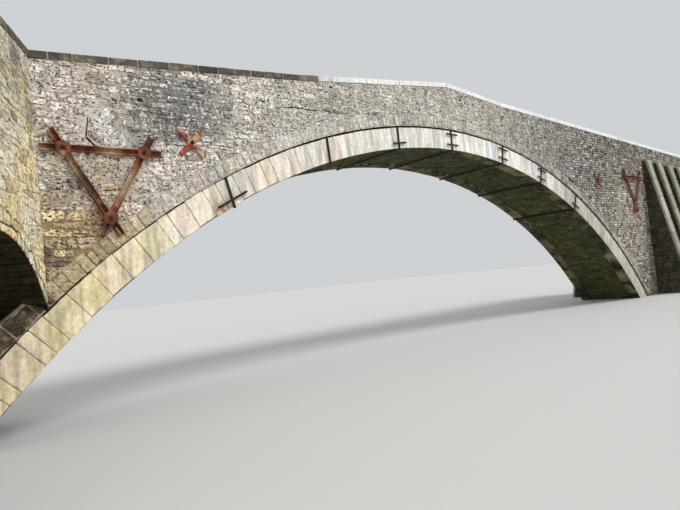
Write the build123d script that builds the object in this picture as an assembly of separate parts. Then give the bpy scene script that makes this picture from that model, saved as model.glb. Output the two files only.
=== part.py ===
from build123d import *
from math import atan2, cos, degrees, hypot, radians, sin, sqrt, tan
import os

# A hump-backed stone footbridge: one wide segmental arch, and an approach that turns off
# at the left over a small flood arch. Millimetres, +Z up. Runs are measured along the road
# to the right, depths from the near face to the far face, heights over the base.

# Main arch, a segment of a circle between two springings on the base
CLEAR_SPAN = 27270
ARCH_RISE = 6250
RING_DEPTH = 680
RING_SETBACK = 40
OUTER_RING_DEPTH = 380
BARREL_RECESS = 50

# Width of the bridge and of its face walls
BRIDGE_WIDTH = 2950
FACE_WIDTH = 480

# Parapets and road
CROWN_COVER = 370
PARAPET_HEIGHT = 830
PARAPET_WIDTH = 340
COPING_THICKNESS = 160
COPING_OVERHANG = 25
PAVING_THICKNESS = 120

# How the road runs and falls away from its summit
SUMMIT_OFFSET = 300
CORNER_INSET = 1365
LEFT_BREAK_RUN = 6370
LEFT_BREAK_FALL = 740
CORNER_FALL = 570
RIGHT_BREAK_RUN = 3100
RIGHT_BREAK_FALL = 260
RIGHT_WALL_LENGTH = 7865
RIGHT_END_FALL = 750

# Approach over the flood arch
APPROACH_TURN = 65
APPROACH_FALL = 700
FLOOD_SPAN = 5600
FLOOD_RISE = 1650
FLOOD_SPRINGING = 1850
FLOOD_OVERLAP = 300
FLOOD_RING_DEPTH = 360
END_PIER_LENGTH = 1700

# Raking buttresses at the right
BUTTRESS_OFFSET = 2165
BUTTRESS_SPACING = 1450
BUTTRESS_COUNT = 4
BUTTRESS_WIDTH = 500
BUTTRESS_HEAD_GAP = 50
BUTTRESS_HEAD_DEPTH = 260
BUTTRESS_RAKE = 0.195
BUTTRESS_COPING = 120

# Iron straps on the ring faces, each with none, one or two cross keys, and bars across the
# soffit between them. Angles are from the crown, leans from upright, and keys lie outside
# the soffit. The three straps at the left lean less than the joints of the ring.
STRAP_ANGLES = [-26.8, -16.3, -7.3, 0.8, 10.0, 18.2, 26.8]
STRAP_LEANS = [-14.0, -3.0, 0.0, 0.8, 10.0, 18.2, 24.0]
STRAP_KEY_COUNTS = [1, 0, 1, 2, 2, 2, 1]
STRAP_WIDTH = 50
STRAP_THICKNESS = 50
STRAP_FOOT = 50
STRAP_HEAD_GAP = 15
KEY_LENGTH = 560
LONG_KEY_LENGTH = 880
KEY_WIDTH = 50
KEY_THICKNESS = 30
LOW_KEY = 150
HIGH_KEY = 500
LONE_KEY_ANGLE = 25.0
LONE_KEY_LENGTH = 420
FIRST_TIED_STRAP = 2
TIE_WIDTH = 50
TIE_DEPTH = 40
TIE_GAP = 0.3

# Iron crosses on the walls, one right of the corner and one left of the right springing
LEFT_CROSS_RUN = 3140
LEFT_CROSS_DROP = 1800
RIGHT_CROSS_RUN = 3135
RIGHT_CROSS_DROP = 2330
CROSS_ARM = 410
CROSS_BAR_WIDTH = 112
CROSS_BAR_THICKNESS = 50
CROSS_HUB_RADIUS = 105
CROSS_HUB_SIDES = 8
HUB_RISE = 8

# Triangles of rolled channels on the walls, one right of the corner and one left of the
# first buttress, each with three beams that run on past the hubs at their crossings
LEFT_TRIANGLE_RUN = 1240
LEFT_TRIANGLE_DROP = 2400
RIGHT_TRIANGLE_RUN = 1545
RIGHT_TRIANGLE_DROP = 2350
TRIANGLE_SIDE = 1570
TRIANGLE_OVERRUN = 400
TRIANGLE_HUB_RADIUS = 155
TRIANGLE_HUB_SIDES = 6
BEAM_WIDTH = 130
BEAM_DEPTH = 90
BEAM_WEB = 16
BEAM_FLANGE = 18

# Main arch, worked out
HALF_SPAN = CLEAR_SPAN / 2
ARCH_RADIUS = (HALF_SPAN**2 + ARCH_RISE**2) / (2 * ARCH_RISE)
ARCH_CENTRE_DROP = ARCH_RADIUS - ARCH_RISE
RING_TOP_RADIUS = ARCH_RADIUS + RING_DEPTH
HAUNCH_RADIUS = RING_TOP_RADIUS + OUTER_RING_DEPTH

# Reach of the straps across the ring, worked out
STRAP_LOW = ARCH_RADIUS - STRAP_FOOT
STRAP_HIGH = RING_TOP_RADIUS - STRAP_HEAD_GAP
STRAP_MIDDLE = (STRAP_LOW + STRAP_HIGH) / 2

# Top line of the parapets, worked out
CORNER_X = -HALF_SPAN + CORNER_INSET
LEFT_BREAK_X = CORNER_X + LEFT_BREAK_RUN
SUMMIT_X = SUMMIT_OFFSET
RIGHT_BREAK_X = SUMMIT_X + RIGHT_BREAK_RUN
RIGHT_END_X = HALF_SPAN + RIGHT_WALL_LENGTH
ARCH_TOP = ARCH_RISE + RING_DEPTH + OUTER_RING_DEPTH
SUMMIT_TOP = ARCH_TOP + CROWN_COVER + PARAPET_HEIGHT
LEFT_BREAK_TOP = SUMMIT_TOP - LEFT_BREAK_FALL
CORNER_TOP = LEFT_BREAK_TOP - CORNER_FALL
RIGHT_BREAK_TOP = SUMMIT_TOP - RIGHT_BREAK_FALL
RIGHT_END_TOP = RIGHT_BREAK_TOP - RIGHT_END_FALL
BUTTRESS_X = HALF_SPAN + BUTTRESS_OFFSET

# Flood arch and approach, worked out
FLOOD_HALF_SPAN = FLOOD_SPAN / 2
FLOOD_RADIUS = (FLOOD_HALF_SPAN**2 + FLOOD_RISE**2) / (2 * FLOOD_RISE)
FLOOD_CENTRE_HEIGHT = FLOOD_SPRINGING + FLOOD_RISE - FLOOD_RADIUS
FLOOD_MIDDLE = FLOOD_OVERLAP - FLOOD_HALF_SPAN
APPROACH_END = FLOOD_MIDDLE - FLOOD_HALF_SPAN - END_PIER_LENGTH
APPROACH_END_TOP = CORNER_TOP - APPROACH_FALL

# Beyond every face of the bridge, for pieces that are cut back
REACH = 2 * CLEAR_SPAN

# Two upright frames. In both, x runs along the road to the right, y runs up, and the
# normal points out of the near face. The approach lies at negative x of its own frame.
HALF_WIDTH = BRIDGE_WIDTH / 2
BRIDGE = Plane(origin=(0, -HALF_WIDTH, 0), x_dir=(1, 0, 0), z_dir=(0, -1, 0))
TURN = radians(APPROACH_TURN)
APPROACH = Plane(
    origin=(CORNER_X, -HALF_WIDTH, 0),
    x_dir=(cos(TURN), sin(TURN), 0),
    z_dir=(sin(TURN), -cos(TURN), 0),
)
MITRE_SLOPE = tan(TURN / 2)

# The top line is level round the corner, so that both roads meet there
LEFT_TOP_LINE = [
    (-REACH, CORNER_TOP),
    (CORNER_X, CORNER_TOP),
    (LEFT_BREAK_X, LEFT_BREAK_TOP),
    (SUMMIT_X, SUMMIT_TOP),
]
RIGHT_TOP_LINE = [
    (SUMMIT_X, SUMMIT_TOP),
    (RIGHT_BREAK_X, RIGHT_BREAK_TOP),
    (RIGHT_END_X, RIGHT_END_TOP),
]
APPROACH_TOP_LINE = [
    (APPROACH_END, APPROACH_END_TOP),
    (0, CORNER_TOP),
    (REACH, CORNER_TOP),
]

# Depth ranges across the bridge
SIDES = ("near", "far")
MIDDLE = (FACE_WIDTH, BRIDGE_WIDTH - FACE_WIDTH)
WHOLE = (0, BRIDGE_WIDTH)

parts = {}


def at_face(side, inner, outer=0):
    """Depth range from a setback to a depth behind the named face."""
    if side == "near":
        return outer, inner
    return BRIDGE_WIDTH - inner, BRIDGE_WIDTH - outer


def stand(frame, profile, depths):
    """Stand a profile up between two depths behind the near face."""
    near, far = depths
    return extrude(frame.offset(-far) * profile, amount=far - near)


def outline(*points):
    return make_face(Polyline(*points, close=True))


def band(line, upper, lower):
    """Profile between two lines that run below the top line."""
    top = [(x, z - upper) for x, z in line]
    bottom = [(x, z - lower) for x, z in reversed(line)]
    return outline(*top, *bottom)


def under(line, drop):
    """Profile from the base up to a line that runs below the top line."""
    top = [(x, z - drop) for x, z in line]
    return outline((line[0][0], 0), *top, (line[-1][0], 0))


def disc(radius):
    return Pos(0, -ARCH_CENTRE_DROP) * Circle(radius)


def arch_band(inner, outer):
    """The part of a ring round the main arch's centre that stands over the base."""
    over_base = Pos(0, outer / 2) * Rectangle(2 * outer, outer)
    return (disc(outer) - disc(inner)) & over_base


def flood_disc(radius):
    return Pos(FLOOD_MIDDLE, FLOOD_CENTRE_HEIGHT) * Circle(radius)


def mitre_side(direction):
    """All that lies on one side of the upright plane where the road turns the corner."""
    plan = outline(
        (CORNER_X + MITRE_SLOPE * REACH, -HALF_WIDTH - REACH),
        (CORNER_X - MITRE_SLOPE * REACH, -HALF_WIDTH + REACH),
        (CORNER_X + direction * 2 * REACH, -HALF_WIDTH + REACH),
        (CORNER_X + direction * 2 * REACH, -HALF_WIDTH - REACH),
    )
    return extrude(plan, amount=REACH)


def make_main_arch():
    ring = arch_band(ARCH_RADIUS, RING_TOP_RADIUS)
    outer_ring = arch_band(RING_TOP_RADIUS, HAUNCH_RADIUS)
    for side in SIDES:
        parts[f"main_ring_{side}"] = stand(BRIDGE, ring, at_face(side, FACE_WIDTH, RING_SETBACK))
        parts[f"outer_ring_{side}"] = stand(BRIDGE, outer_ring, at_face(side, FACE_WIDTH))
    barrel = arch_band(ARCH_RADIUS + BARREL_RECESS, HAUNCH_RADIUS)
    parts["main_barrel"] = stand(BRIDGE, barrel, MIDDLE)


def make_main_walls():
    kept = mitre_side(1)
    haunch = disc(HAUNCH_RADIUS)
    for end, line in (("left", LEFT_TOP_LINE), ("right", RIGHT_TOP_LINE)):
        wall = under(line, PARAPET_HEIGHT) - haunch
        fill = under(line, PARAPET_HEIGHT + PAVING_THICKNESS) - haunch
        paving = band(line, PARAPET_HEIGHT, PARAPET_HEIGHT + PAVING_THICKNESS) - haunch
        parapet = band(line, COPING_THICKNESS, PARAPET_HEIGHT)
        coping = band(line, 0, COPING_THICKNESS)
        parts[f"fill_{end}"] = stand(BRIDGE, fill, MIDDLE) & kept
        parts[f"roadway_{end}"] = stand(BRIDGE, paving, MIDDLE) & kept
        for side in SIDES:
            parapet_depths = at_face(side, PARAPET_WIDTH)
            coping_depths = at_face(side, PARAPET_WIDTH + COPING_OVERHANG, -COPING_OVERHANG)
            parts[f"spandrel_{side}_{end}"] = stand(BRIDGE, wall, at_face(side, FACE_WIDTH)) & kept
            parts[f"parapet_{side}_{end}"] = stand(BRIDGE, parapet, parapet_depths) & kept
            parts[f"coping_{side}_{end}"] = stand(BRIDGE, coping, coping_depths) & kept


def make_approach():
    line = APPROACH_TOP_LINE
    over_springing = Pos(0, FLOOD_SPRINGING + REACH / 2) * Rectangle(3 * REACH, REACH)
    vault_back = flood_disc(FLOOD_RADIUS + FLOOD_RING_DEPTH)
    vault = (vault_back - flood_disc(FLOOD_RADIUS)) & over_springing
    wall = (under(line, PARAPET_HEIGHT) & over_springing) - vault_back
    fill = (under(line, PARAPET_HEIGHT + PAVING_THICKNESS) & over_springing) - vault_back
    paving = band(line, PARAPET_HEIGHT, PARAPET_HEIGHT + PAVING_THICKNESS)
    parapet = band(line, COPING_THICKNESS, PARAPET_HEIGHT)
    coping = band(line, 0, COPING_THICKNESS)
    springings = (FLOOD_MIDDLE - FLOOD_HALF_SPAN, FLOOD_MIDDLE + FLOOD_HALF_SPAN)
    end_pier = outline(
        (APPROACH_END, 0),
        (springings[0], 0),
        (springings[0], FLOOD_SPRINGING),
        (APPROACH_END, FLOOD_SPRINGING),
    )
    corner_pier = outline(
        (springings[1], 0),
        (REACH, 0),
        (REACH, FLOOD_SPRINGING),
        (springings[1], FLOOD_SPRINGING),
    )
    pieces = {
        "flood_barrel": (vault, MIDDLE),
        "approach_fill": (fill, MIDDLE),
        "approach_roadway": (paving, MIDDLE),
        "end_pier": (end_pier, WHOLE),
        "corner_pier": (corner_pier, WHOLE),
    }
    for side in SIDES:
        pieces[f"flood_ring_{side}"] = (vault, at_face(side, FACE_WIDTH))
        pieces[f"approach_wall_{side}"] = (wall, at_face(side, FACE_WIDTH))
        pieces[f"approach_parapet_{side}"] = (parapet, at_face(side, PARAPET_WIDTH))
        coping_depths = at_face(side, PARAPET_WIDTH + COPING_OVERHANG, -COPING_OVERHANG)
        pieces[f"approach_coping_{side}"] = (coping, coping_depths)

    # The approach stands on the haunch of the main arch and stops at the mitre
    haunch = stand(BRIDGE, disc(HAUNCH_RADIUS), WHOLE)
    kept = mitre_side(-1)
    for name, (profile, depths) in pieces.items():
        parts[name] = (stand(APPROACH, profile, depths) & kept) - haunch


def left_top(x):
    """Height of the parapet's top between the corner and the break left of the summit."""
    return CORNER_TOP + (x - CORNER_X) / LEFT_BREAK_RUN * CORNER_FALL


def right_top(x):
    """Height of the parapet's top between the break right of the summit and the end."""
    return RIGHT_BREAK_TOP - (x - RIGHT_BREAK_X) / (RIGHT_END_X - RIGHT_BREAK_X) * RIGHT_END_FALL


def wall_places(left_run, left_drop, right_x, right_drop):
    """Points on the near face, below the parapet's top: one left and one right of the arch."""
    left_x = CORNER_X + left_run
    return [(left_x, left_top(left_x) - left_drop), (right_x, right_top(right_x) - right_drop)]


def both_sides(name, near_solids):
    """A node of like pieces on the near face and the same pieces on the far face."""
    parts[f"{name}_near"] = Compound(near_solids)
    parts[f"{name}_far"] = Compound([mirror(solid, about=Plane.XZ) for solid in near_solids])


def make_buttresses():
    bodies = []
    copings = []
    slab = BUTTRESS_COPING * hypot(1, BUTTRESS_RAKE)
    for i in range(BUTTRESS_COUNT):
        left = BUTTRESS_X + i * BUTTRESS_SPACING
        head = right_top(left + BUTTRESS_WIDTH) - PARAPET_HEIGHT - BUTTRESS_HEAD_GAP
        foot_depth = BUTTRESS_HEAD_DEPTH + BUTTRESS_RAKE * head
        side_view = Plane(origin=(left, -HALF_WIDTH, 0), x_dir=(0, 1, 0), z_dir=(1, 0, 0))
        body = outline(
            (0, 0),
            (slab - foot_depth, 0),
            (slab - BUTTRESS_HEAD_DEPTH, head),
            (0, head),
        )
        coping = outline(
            (slab - foot_depth, 0),
            (-foot_depth, 0),
            (-BUTTRESS_HEAD_DEPTH, head),
            (slab - BUTTRESS_HEAD_DEPTH, head),
        )
        bodies.append(extrude(side_view * body, amount=BUTTRESS_WIDTH))
        copings.append(extrude(side_view * coping, amount=BUTTRESS_WIDTH))
    both_sides("buttresses", bodies)
    both_sides("buttress_copings", copings)


def on_arch(angle, radius):
    """Run and height of a point round the main arch, its angle taken from the crown."""
    turn = radians(angle)
    return radius * sin(turn), radius * cos(turn) - ARCH_CENTRE_DROP


def bar(centre, angle, length, width):
    """Profile of a flat bar turned clockwise from upright."""
    return Pos(*centre) * Rot(0, 0, -angle) * Rectangle(width, length)


def on_strap(angle, lean, radius):
    """Run and height of the place where a strap's axis reaches a radius of the main arch."""
    run, height = on_arch(angle, STRAP_MIDDLE)
    reach = (radius - STRAP_MIDDLE) / cos(radians(lean - angle))
    return run + reach * sin(radians(lean)), height + reach * cos(radians(lean))


def make_ring_irons():
    strap_front = RING_SETBACK - STRAP_THICKNESS
    straps = []
    for angle, lean, key_count in zip(STRAP_ANGLES, STRAP_LEANS, STRAP_KEY_COUNTS):
        key_length = LONG_KEY_LENGTH if angle == STRAP_ANGLES[0] else KEY_LENGTH
        length = (STRAP_HIGH - STRAP_LOW) / cos(radians(lean - angle))
        upright = bar(on_arch(angle, STRAP_MIDDLE), lean, length, STRAP_WIDTH)
        strap = stand(BRIDGE, upright, (strap_front, RING_SETBACK))
        for place in (LOW_KEY, HIGH_KEY)[:key_count]:
            key_centre = on_strap(angle, lean, ARCH_RADIUS + place)
            key = bar(key_centre, angle + 90, key_length, KEY_WIDTH)
            strap = strap + stand(BRIDGE, key, (strap_front - KEY_THICKNESS, strap_front))
        straps.append(strap)
    lone_place = on_arch(LONE_KEY_ANGLE, HAUNCH_RADIUS)
    lone_key = bar(lone_place, LONE_KEY_ANGLE + 90, LONE_KEY_LENGTH, KEY_WIDTH)
    straps.append(stand(BRIDGE, lone_key, (-KEY_THICKNESS, 0)))
    both_sides("ring_straps", straps)

    # Bars across the soffit, whose ends the feet of the straps cover
    ties = []
    tie_radius = ARCH_RADIUS - TIE_GAP - TIE_DEPTH / 2
    for angle, lean in list(zip(STRAP_ANGLES, STRAP_LEANS))[FIRST_TIED_STRAP:]:
        run, height = on_strap(angle, lean, tie_radius)
        tie_angle = degrees(atan2(run, height + ARCH_CENTRE_DROP))
        profile = bar(on_arch(tie_angle, tie_radius), tie_angle, TIE_DEPTH, TIE_WIDTH)
        ties.append(stand(BRIDGE, profile, (RING_SETBACK, BRIDGE_WIDTH - RING_SETBACK)))
    parts["soffit_ties"] = Compound(ties)


def hub(centre, radius, sides, iron_depth):
    """A cast hub with a corner straight up, over the crossing of two irons."""
    profile = Pos(*centre) * RegularPolygon(radius, sides, rotation=90)
    return stand(BRIDGE, profile, (-iron_depth - HUB_RISE, 0))


def make_crosses():
    crosses = []
    right_x = HALF_SPAN - RIGHT_CROSS_RUN
    for centre in wall_places(LEFT_CROSS_RUN, LEFT_CROSS_DROP, right_x, RIGHT_CROSS_DROP):
        arms = bar(centre, 45, 2 * CROSS_ARM, CROSS_BAR_WIDTH)
        arms = arms + bar(centre, -45, 2 * CROSS_ARM, CROSS_BAR_WIDTH)
        cross = stand(BRIDGE, arms, (-CROSS_BAR_THICKNESS, 0))
        crosses.append(cross + hub(centre, CROSS_HUB_RADIUS, CROSS_HUB_SIDES, CROSS_BAR_THICKNESS))
    both_sides("wall_crosses", crosses)


def beam(centre, angle, length):
    """A rolled channel with its back on the wall, turned like a flat bar."""
    solid = stand(BRIDGE, bar(centre, angle, length, BEAM_WIDTH), (-BEAM_WEB, 0))
    for edge in (-1, 1):
        shift = edge * (BEAM_WIDTH - BEAM_FLANGE) / 2
        run = centre[0] + shift * cos(radians(angle))
        height = centre[1] - shift * sin(radians(angle))
        flange = bar((run, height), angle, length, BEAM_FLANGE)
        solid = solid + stand(BRIDGE, flange, (-BEAM_DEPTH, 0))
    return solid


def make_triangles():
    length = TRIANGLE_SIDE + 2 * TRIANGLE_OVERRUN
    to_beam = TRIANGLE_SIDE / (2 * sqrt(3))
    to_hub = 2 * to_beam
    triangles = []
    right_x = BUTTRESS_X - RIGHT_TRIANGLE_RUN
    places = wall_places(LEFT_TRIANGLE_RUN, LEFT_TRIANGLE_DROP, right_x, RIGHT_TRIANGLE_DROP)
    for run, height in places:
        pieces = []
        for turn in (0, 120, 240):
            across = sin(radians(turn))
            up = cos(radians(turn))
            middle = (run + to_beam * across, height + to_beam * up)
            crossing = (run - to_hub * across, height - to_hub * up)
            pieces.append(beam(middle, turn + 90, length))
            pieces.append(hub(crossing, TRIANGLE_HUB_RADIUS, TRIANGLE_HUB_SIDES, BEAM_DEPTH))
        triangles.append(pieces[0] + pieces[1:])
    both_sides("beam_triangles", triangles)


make_main_arch()
make_main_walls()
make_approach()
make_buttresses()
make_ring_irons()
make_crosses()
make_triangles()

# The origin lies on the base, in the middle of the whole footprint
footprint = Compound([solid for shape in parts.values() for solid in shape.solids()]).bounding_box()
TO_ORIGIN = (
    -(footprint.min.X + footprint.max.X) / 2,
    -(footprint.min.Y + footprint.max.Y) / 2,
    0,
)

os.makedirs("parts", exist_ok=True)
for name, shape in parts.items():
    export_step(Pos(*TO_ORIGIN) * Compound(shape.solids()), f"parts/{name}.step")
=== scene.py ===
import math
import random
from dataclasses import dataclass

import bpy
from mathutils import Matrix, Vector, noise


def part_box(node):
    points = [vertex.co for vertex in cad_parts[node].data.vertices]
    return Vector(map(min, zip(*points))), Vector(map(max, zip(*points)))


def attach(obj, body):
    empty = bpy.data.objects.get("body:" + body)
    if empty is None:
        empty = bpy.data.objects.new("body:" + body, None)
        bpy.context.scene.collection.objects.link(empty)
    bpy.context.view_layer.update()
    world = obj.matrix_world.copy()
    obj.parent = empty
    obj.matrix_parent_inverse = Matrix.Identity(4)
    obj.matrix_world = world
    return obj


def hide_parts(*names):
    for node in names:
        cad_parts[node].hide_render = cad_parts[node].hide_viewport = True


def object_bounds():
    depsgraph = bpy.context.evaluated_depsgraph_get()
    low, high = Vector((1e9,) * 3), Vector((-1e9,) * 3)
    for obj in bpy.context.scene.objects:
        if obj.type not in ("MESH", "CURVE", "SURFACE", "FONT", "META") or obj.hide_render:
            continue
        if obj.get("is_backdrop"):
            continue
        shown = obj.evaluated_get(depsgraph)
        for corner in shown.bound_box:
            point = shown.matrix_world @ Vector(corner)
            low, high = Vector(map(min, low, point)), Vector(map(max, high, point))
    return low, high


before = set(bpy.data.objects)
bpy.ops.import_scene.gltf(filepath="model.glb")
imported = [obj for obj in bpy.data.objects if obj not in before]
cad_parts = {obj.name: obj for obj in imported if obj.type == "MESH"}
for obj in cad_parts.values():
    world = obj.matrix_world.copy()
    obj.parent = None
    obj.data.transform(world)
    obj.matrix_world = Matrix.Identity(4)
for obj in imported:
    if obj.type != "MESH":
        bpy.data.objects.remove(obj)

# The looks of a hump-backed stone footbridge: its rubble, dressed rings, copings, road and
# irons. Metres. Runs are measured along the road from the middle of the arch, heights from
# the base, depths behind the near face, and rises out of the face that carries a stone.
# Angles round the arch are degrees from the crown, negative at the left.

CAD_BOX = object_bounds()
ROOT = "root"

# Camera, as it stands to the arch's centre and near face
CAMERA_RUN = -14.841
CAMERA_BEFORE_FACE = 11.322
CAMERA_HEIGHT = 2.313
CAMERA_HEADING = 40.64
CAMERA_PITCH = 2.59
CAMERA_ROLL = 5.86
FOCAL_PIXELS = 560
IMAGE_WIDTH = 680
SENSOR_WIDTH = 36

# Sizes of the bridge that its boxes don't give
RING_DEPTH = 0.68
BARREL_RECESS = 0.05
PARAPET_WIDTH = 0.34
PARAPET_HEIGHT = 0.83
COPING_THICKNESS = 0.16
COPING_OVERHANG = 0.025
APPROACH_TURN = math.radians(65)
FLOOD_SPAN = 5.6
FLOOD_RISE = 1.65
FLOOD_SPRINGING = 1.85
FLOOD_OVERLAP = 0.3
FLOOD_RING_DEPTH = 0.36
BUTTRESS_WIDTH = 0.5
BUTTRESS_SPACING = 1.45
BUTTRESS_COUNT = 4
BUTTRESS_RAKE = 0.195
BUTTRESS_COPING = 0.12
BUTTRESS_HEAD_GAP = 0.05
BUTTRESS_HEAD_DEPTH = 0.26
NUT_RADIUS = 0.045
NUT_THICKNESS = 0.035
NUT_SEAT = 0.002
BOLT_RADIUS = 0.022
BOLT_REACH = 0.055

# Open joint between the dressed ring and the ring over it, painted dark as the shadow under the
# outer ring
EXTRADOS_JOINT = 0.048

# How far a stone's sides reach into the mortar, how far stones may stand out of it, and how
# far they may behind the irons and on the outermost faces
SEAT = 0.004
MOST_RISE = 0.024
FLAT_RISE = 0.011
END_RISE = 0.0005

# Mean and least length of a dressed ring stone, the gap beside it and the bed under its picked
# face, and the length and gap of a stone on edge in the flood ring
VOUSSOIR_LENGTH = 0.4
LAST_VOUSSOIR = 0.25
VOUSSOIR_GAP = 0.002
VOUSSOIR_BED = 0.004
FLOOD_STONE = 0.24
FLOOD_GAP = 0.008

# Arris of rough stones
RUBBLE_BEVEL = 0.01

# Lengths of slabs: up a buttress, on the worn copings at the left and on the others, and the
# shortest at an end or a bend
BUTTRESS_SLABS = (0.7, 1.2)
SHORT_SLABS = (0.4, 0.72)
LONG_SLABS = (0.8, 1.4)
SHORT_SLABS_END = -5
LAST_SLAB = 0.3
BEND_SLAB = 0.4

# Joints beside slabs, how far their tops may drop, how worn they are, and the mortar under them
BUTTRESS_JOINT = 0.006
COPING_JOINT = 0.004
SLAB_DROP = 0.008
SLAB_BEVEL = 0.014
SLAB_WEAR = 0.003
BED_DROP = 0.014
BED_RECESS = 0.012

# Random shares: how long stones on edge are, how wide joints and how high stones are, how
# high their corners and middles are, where stones split and how much of a side is chipped
EDGE_LENGTHS = (0.6, 1.5)
VOUSSOIR_LENGTHS = (0.62, 1.5)
JOINTS = (0.3, 0.7)
RISES = (0.45, 1.3)
CORNER_RISES = (0.75, 1.1)
MIDDLE_RISES = (0.9, 1.2)
SPLITS = (0.38, 0.62)
CHIPS = (0.08, 0.3)


# Small helpers


def linear(red, green, blue):
    """Linear values of a colour that is written in steps from 0 to 255."""
    return tuple((value / 255) ** 2.2 for value in (red, green, blue))


def solid(steps):
    """Value for a colour socket, of a colour in steps from 0 to 255."""
    return (*linear(*steps), 1)


def scaled(colour, factor):
    return tuple(value * factor for value in colour)


def scaled_tone(tone, factor):
    return (*scaled(tone[:3], factor), tone[3])


def mixed(first, second, share):
    """A colour or a point between two."""
    return tuple(a + (b - a) * share for a, b in zip(first, second))


def smooth(low, high, value):
    share = min(max((value - low) / (high - low), 0), 1)
    return share * share * (3 - 2 * share)


def arc(radius, turn):
    """How far across and up a point of a circle lies, at a turn from its top."""
    return radius * math.sin(turn), radius * math.cos(turn)


def corners(node):
    return [vertex.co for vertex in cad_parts[node].data.vertices]


# Main arch, from the frame
ring_low, ring_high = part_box("main_ring_near")
outer_low, outer_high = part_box("outer_ring_near")
NEAR_Y = outer_low.y
FAR_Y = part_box("outer_ring_far")[1].y
FACE_WIDTH = outer_high.y - outer_low.y
RING_SETBACK = ring_low.y - NEAR_Y
ARCH_X = (ring_low.x + ring_high.x) / 2
RING_TOP = ((ring_high.x - ARCH_X) ** 2 + ring_high.z ** 2) / (2 * ring_high.z)
ARCH_Z = ring_high.z - RING_TOP
HAUNCH = outer_high.z - ARCH_Z
SOFFIT = RING_TOP - RING_DEPTH
CORNER_X = min(co.x for co in corners("spandrel_near_left") if abs(co.y - NEAR_Y) < 0.001)
CORNER = CORNER_X - ARCH_X
RIGHT_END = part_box("spandrel_near_right")[1].x - ARCH_X
WIDTH = FAR_Y - NEAR_Y
MITRE_SLOPE = math.tan(APPROACH_TURN / 2)
FIRST_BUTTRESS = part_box("buttresses_near")[0].x - ARCH_X
SIDES = (("near", NEAR_Y, -1), ("far", FAR_Y, 1))

# Flood arch, worked out
FLOOD_RADIUS = ((FLOOD_SPAN / 2) ** 2 + FLOOD_RISE ** 2) / (2 * FLOOD_RISE)
FLOOD_Z = FLOOD_SPRINGING + FLOOD_RISE - FLOOD_RADIUS
FLOOD_TURN = math.asin(FLOOD_SPAN / 2 / FLOOD_RADIUS)
FLOOD_MIDDLE = FLOOD_OVERLAP - FLOOD_SPAN / 2
FLOOD_LEFT = FLOOD_MIDDLE - FLOOD_SPAN / 2
FLOOD_RIGHT = FLOOD_MIDDLE + FLOOD_SPAN / 2

# Directions of the approach: along its road towards the corner, and out of its near face
ALONG = Vector((math.cos(APPROACH_TURN), math.sin(APPROACH_TURN), 0))
OUT = Vector((math.sin(APPROACH_TURN), -math.cos(APPROACH_TURN), 0))
CORNER_POINT = Vector((CORNER_X, NEAR_Y, 0))


def on_main(run, depth, height):
    return Vector((ARCH_X + run, NEAR_Y + depth, height))


def on_approach(run, depth, height):
    return CORNER_POINT + ALONG * run - OUT * depth + Vector((0, 0, height))


def main_run(point):
    return point.x - ARCH_X


def approach_run(point):
    return (point - CORNER_POINT).dot(ALONG)


APPROACH_END = min(approach_run(co) for co in corners("approach_wall_near"))


def profile(nodes, run_of):
    """Run and height of the tops of CAD nodes at each place where they bend."""
    heights = {}
    for node in nodes:
        for co in corners(node):
            run = round(run_of(co), 3)
            heights[run] = max(heights.get(run, 0), co.z)
    return sorted(heights.items())


def height_at(line, run):
    """Height of a bent line over a run, level beyond its ends."""
    if run <= line[0][0]:
        return line[0][1]
    for (run_0, high_0), (run_1, high_1) in zip(line, line[1:]):
        if run_0 <= run <= run_1 and run_1 > run_0:
            return high_0 + (high_1 - high_0) * (run - run_0) / (run_1 - run_0)
    return line[-1][1]


MAIN_TOP = profile(["coping_near_left", "coping_near_right"], main_run)
APPROACH_TOP = profile(["approach_coping_near"], approach_run)
PEAK = max(height for _, height in MAIN_TOP)
APPROACH_PEAK = max(height for _, height in APPROACH_TOP)


# Faces that carry stones


class Surface:
    """A face that carries stones. place turns a run, a height and a rise into a point, and limit
    tells how far a stone may rise."""

    def __init__(self, place, limit=None):
        self.place = place
        self.limit = limit or (lambda u, v: MOST_RISE)
        step = 0.01
        origin = place(0, 0.5, 0)
        run = place(step, 0.5, 0) - origin
        height = place(0, 0.5 + step, 0) - origin
        rise = place(0, 0.5, step) - origin
        self.mirrored = run.cross(height).dot(rise) < 0


def flat(origin, along, out, limit=None):
    """An upright face through a point on the base."""
    along = Vector(along)
    out = Vector(out)
    origin = Vector(origin)
    return Surface(lambda u, v, rise: origin + along * u + out * rise + Vector((0, 0, v)), limit)


def polar(y, out):
    """An upright face round the main arch's centre: u runs round the soffit, v over it."""
    def place(u, v, rise):
        across, up = arc(SOFFIT + v, u / SOFFIT)
        return Vector((ARCH_X + across, y + out * rise, max(ARCH_Z + up, 0.0)))
    return Surface(place)


def along_top(spot, line, drop, mitred=lambda u, v: u):
    """A face under the tops of a road's copings: u runs along the road, v across it."""
    def place(u, v, rise):
        run = mitred(u, v)
        return spot(run, v, height_at(line, run) - drop + rise)
    return Surface(place)


def triangle_boxes(node):
    """Low and high run and height of the iron triangles on a face, left and right."""
    boxes = []
    for side in (-1, 1):
        points = [co for co in corners(node) if main_run(co) * side > 0]
        runs = [main_run(co) for co in points]
        heights = [co.z for co in points]
        boxes.append((min(runs), max(runs), min(heights), max(heights)))
    return boxes


TRIANGLES = triangle_boxes("beam_triangles_near")


def clear_of_irons(u, v):
    """Most that a stone may rise at a place on the main faces."""
    for low_u, high_u, low_v, high_v in TRIANGLES:
        if low_u < u < high_u and low_v < v < high_v:
            return FLAT_RISE
    return MOST_RISE


def main_face(depth, side, limit=None):
    """Upright face along the main road, that looks forward for side -1 and back for 1."""
    return flat(on_main(0, depth, 0), (1, 0, 0), (0, side, 0), limit)


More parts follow.
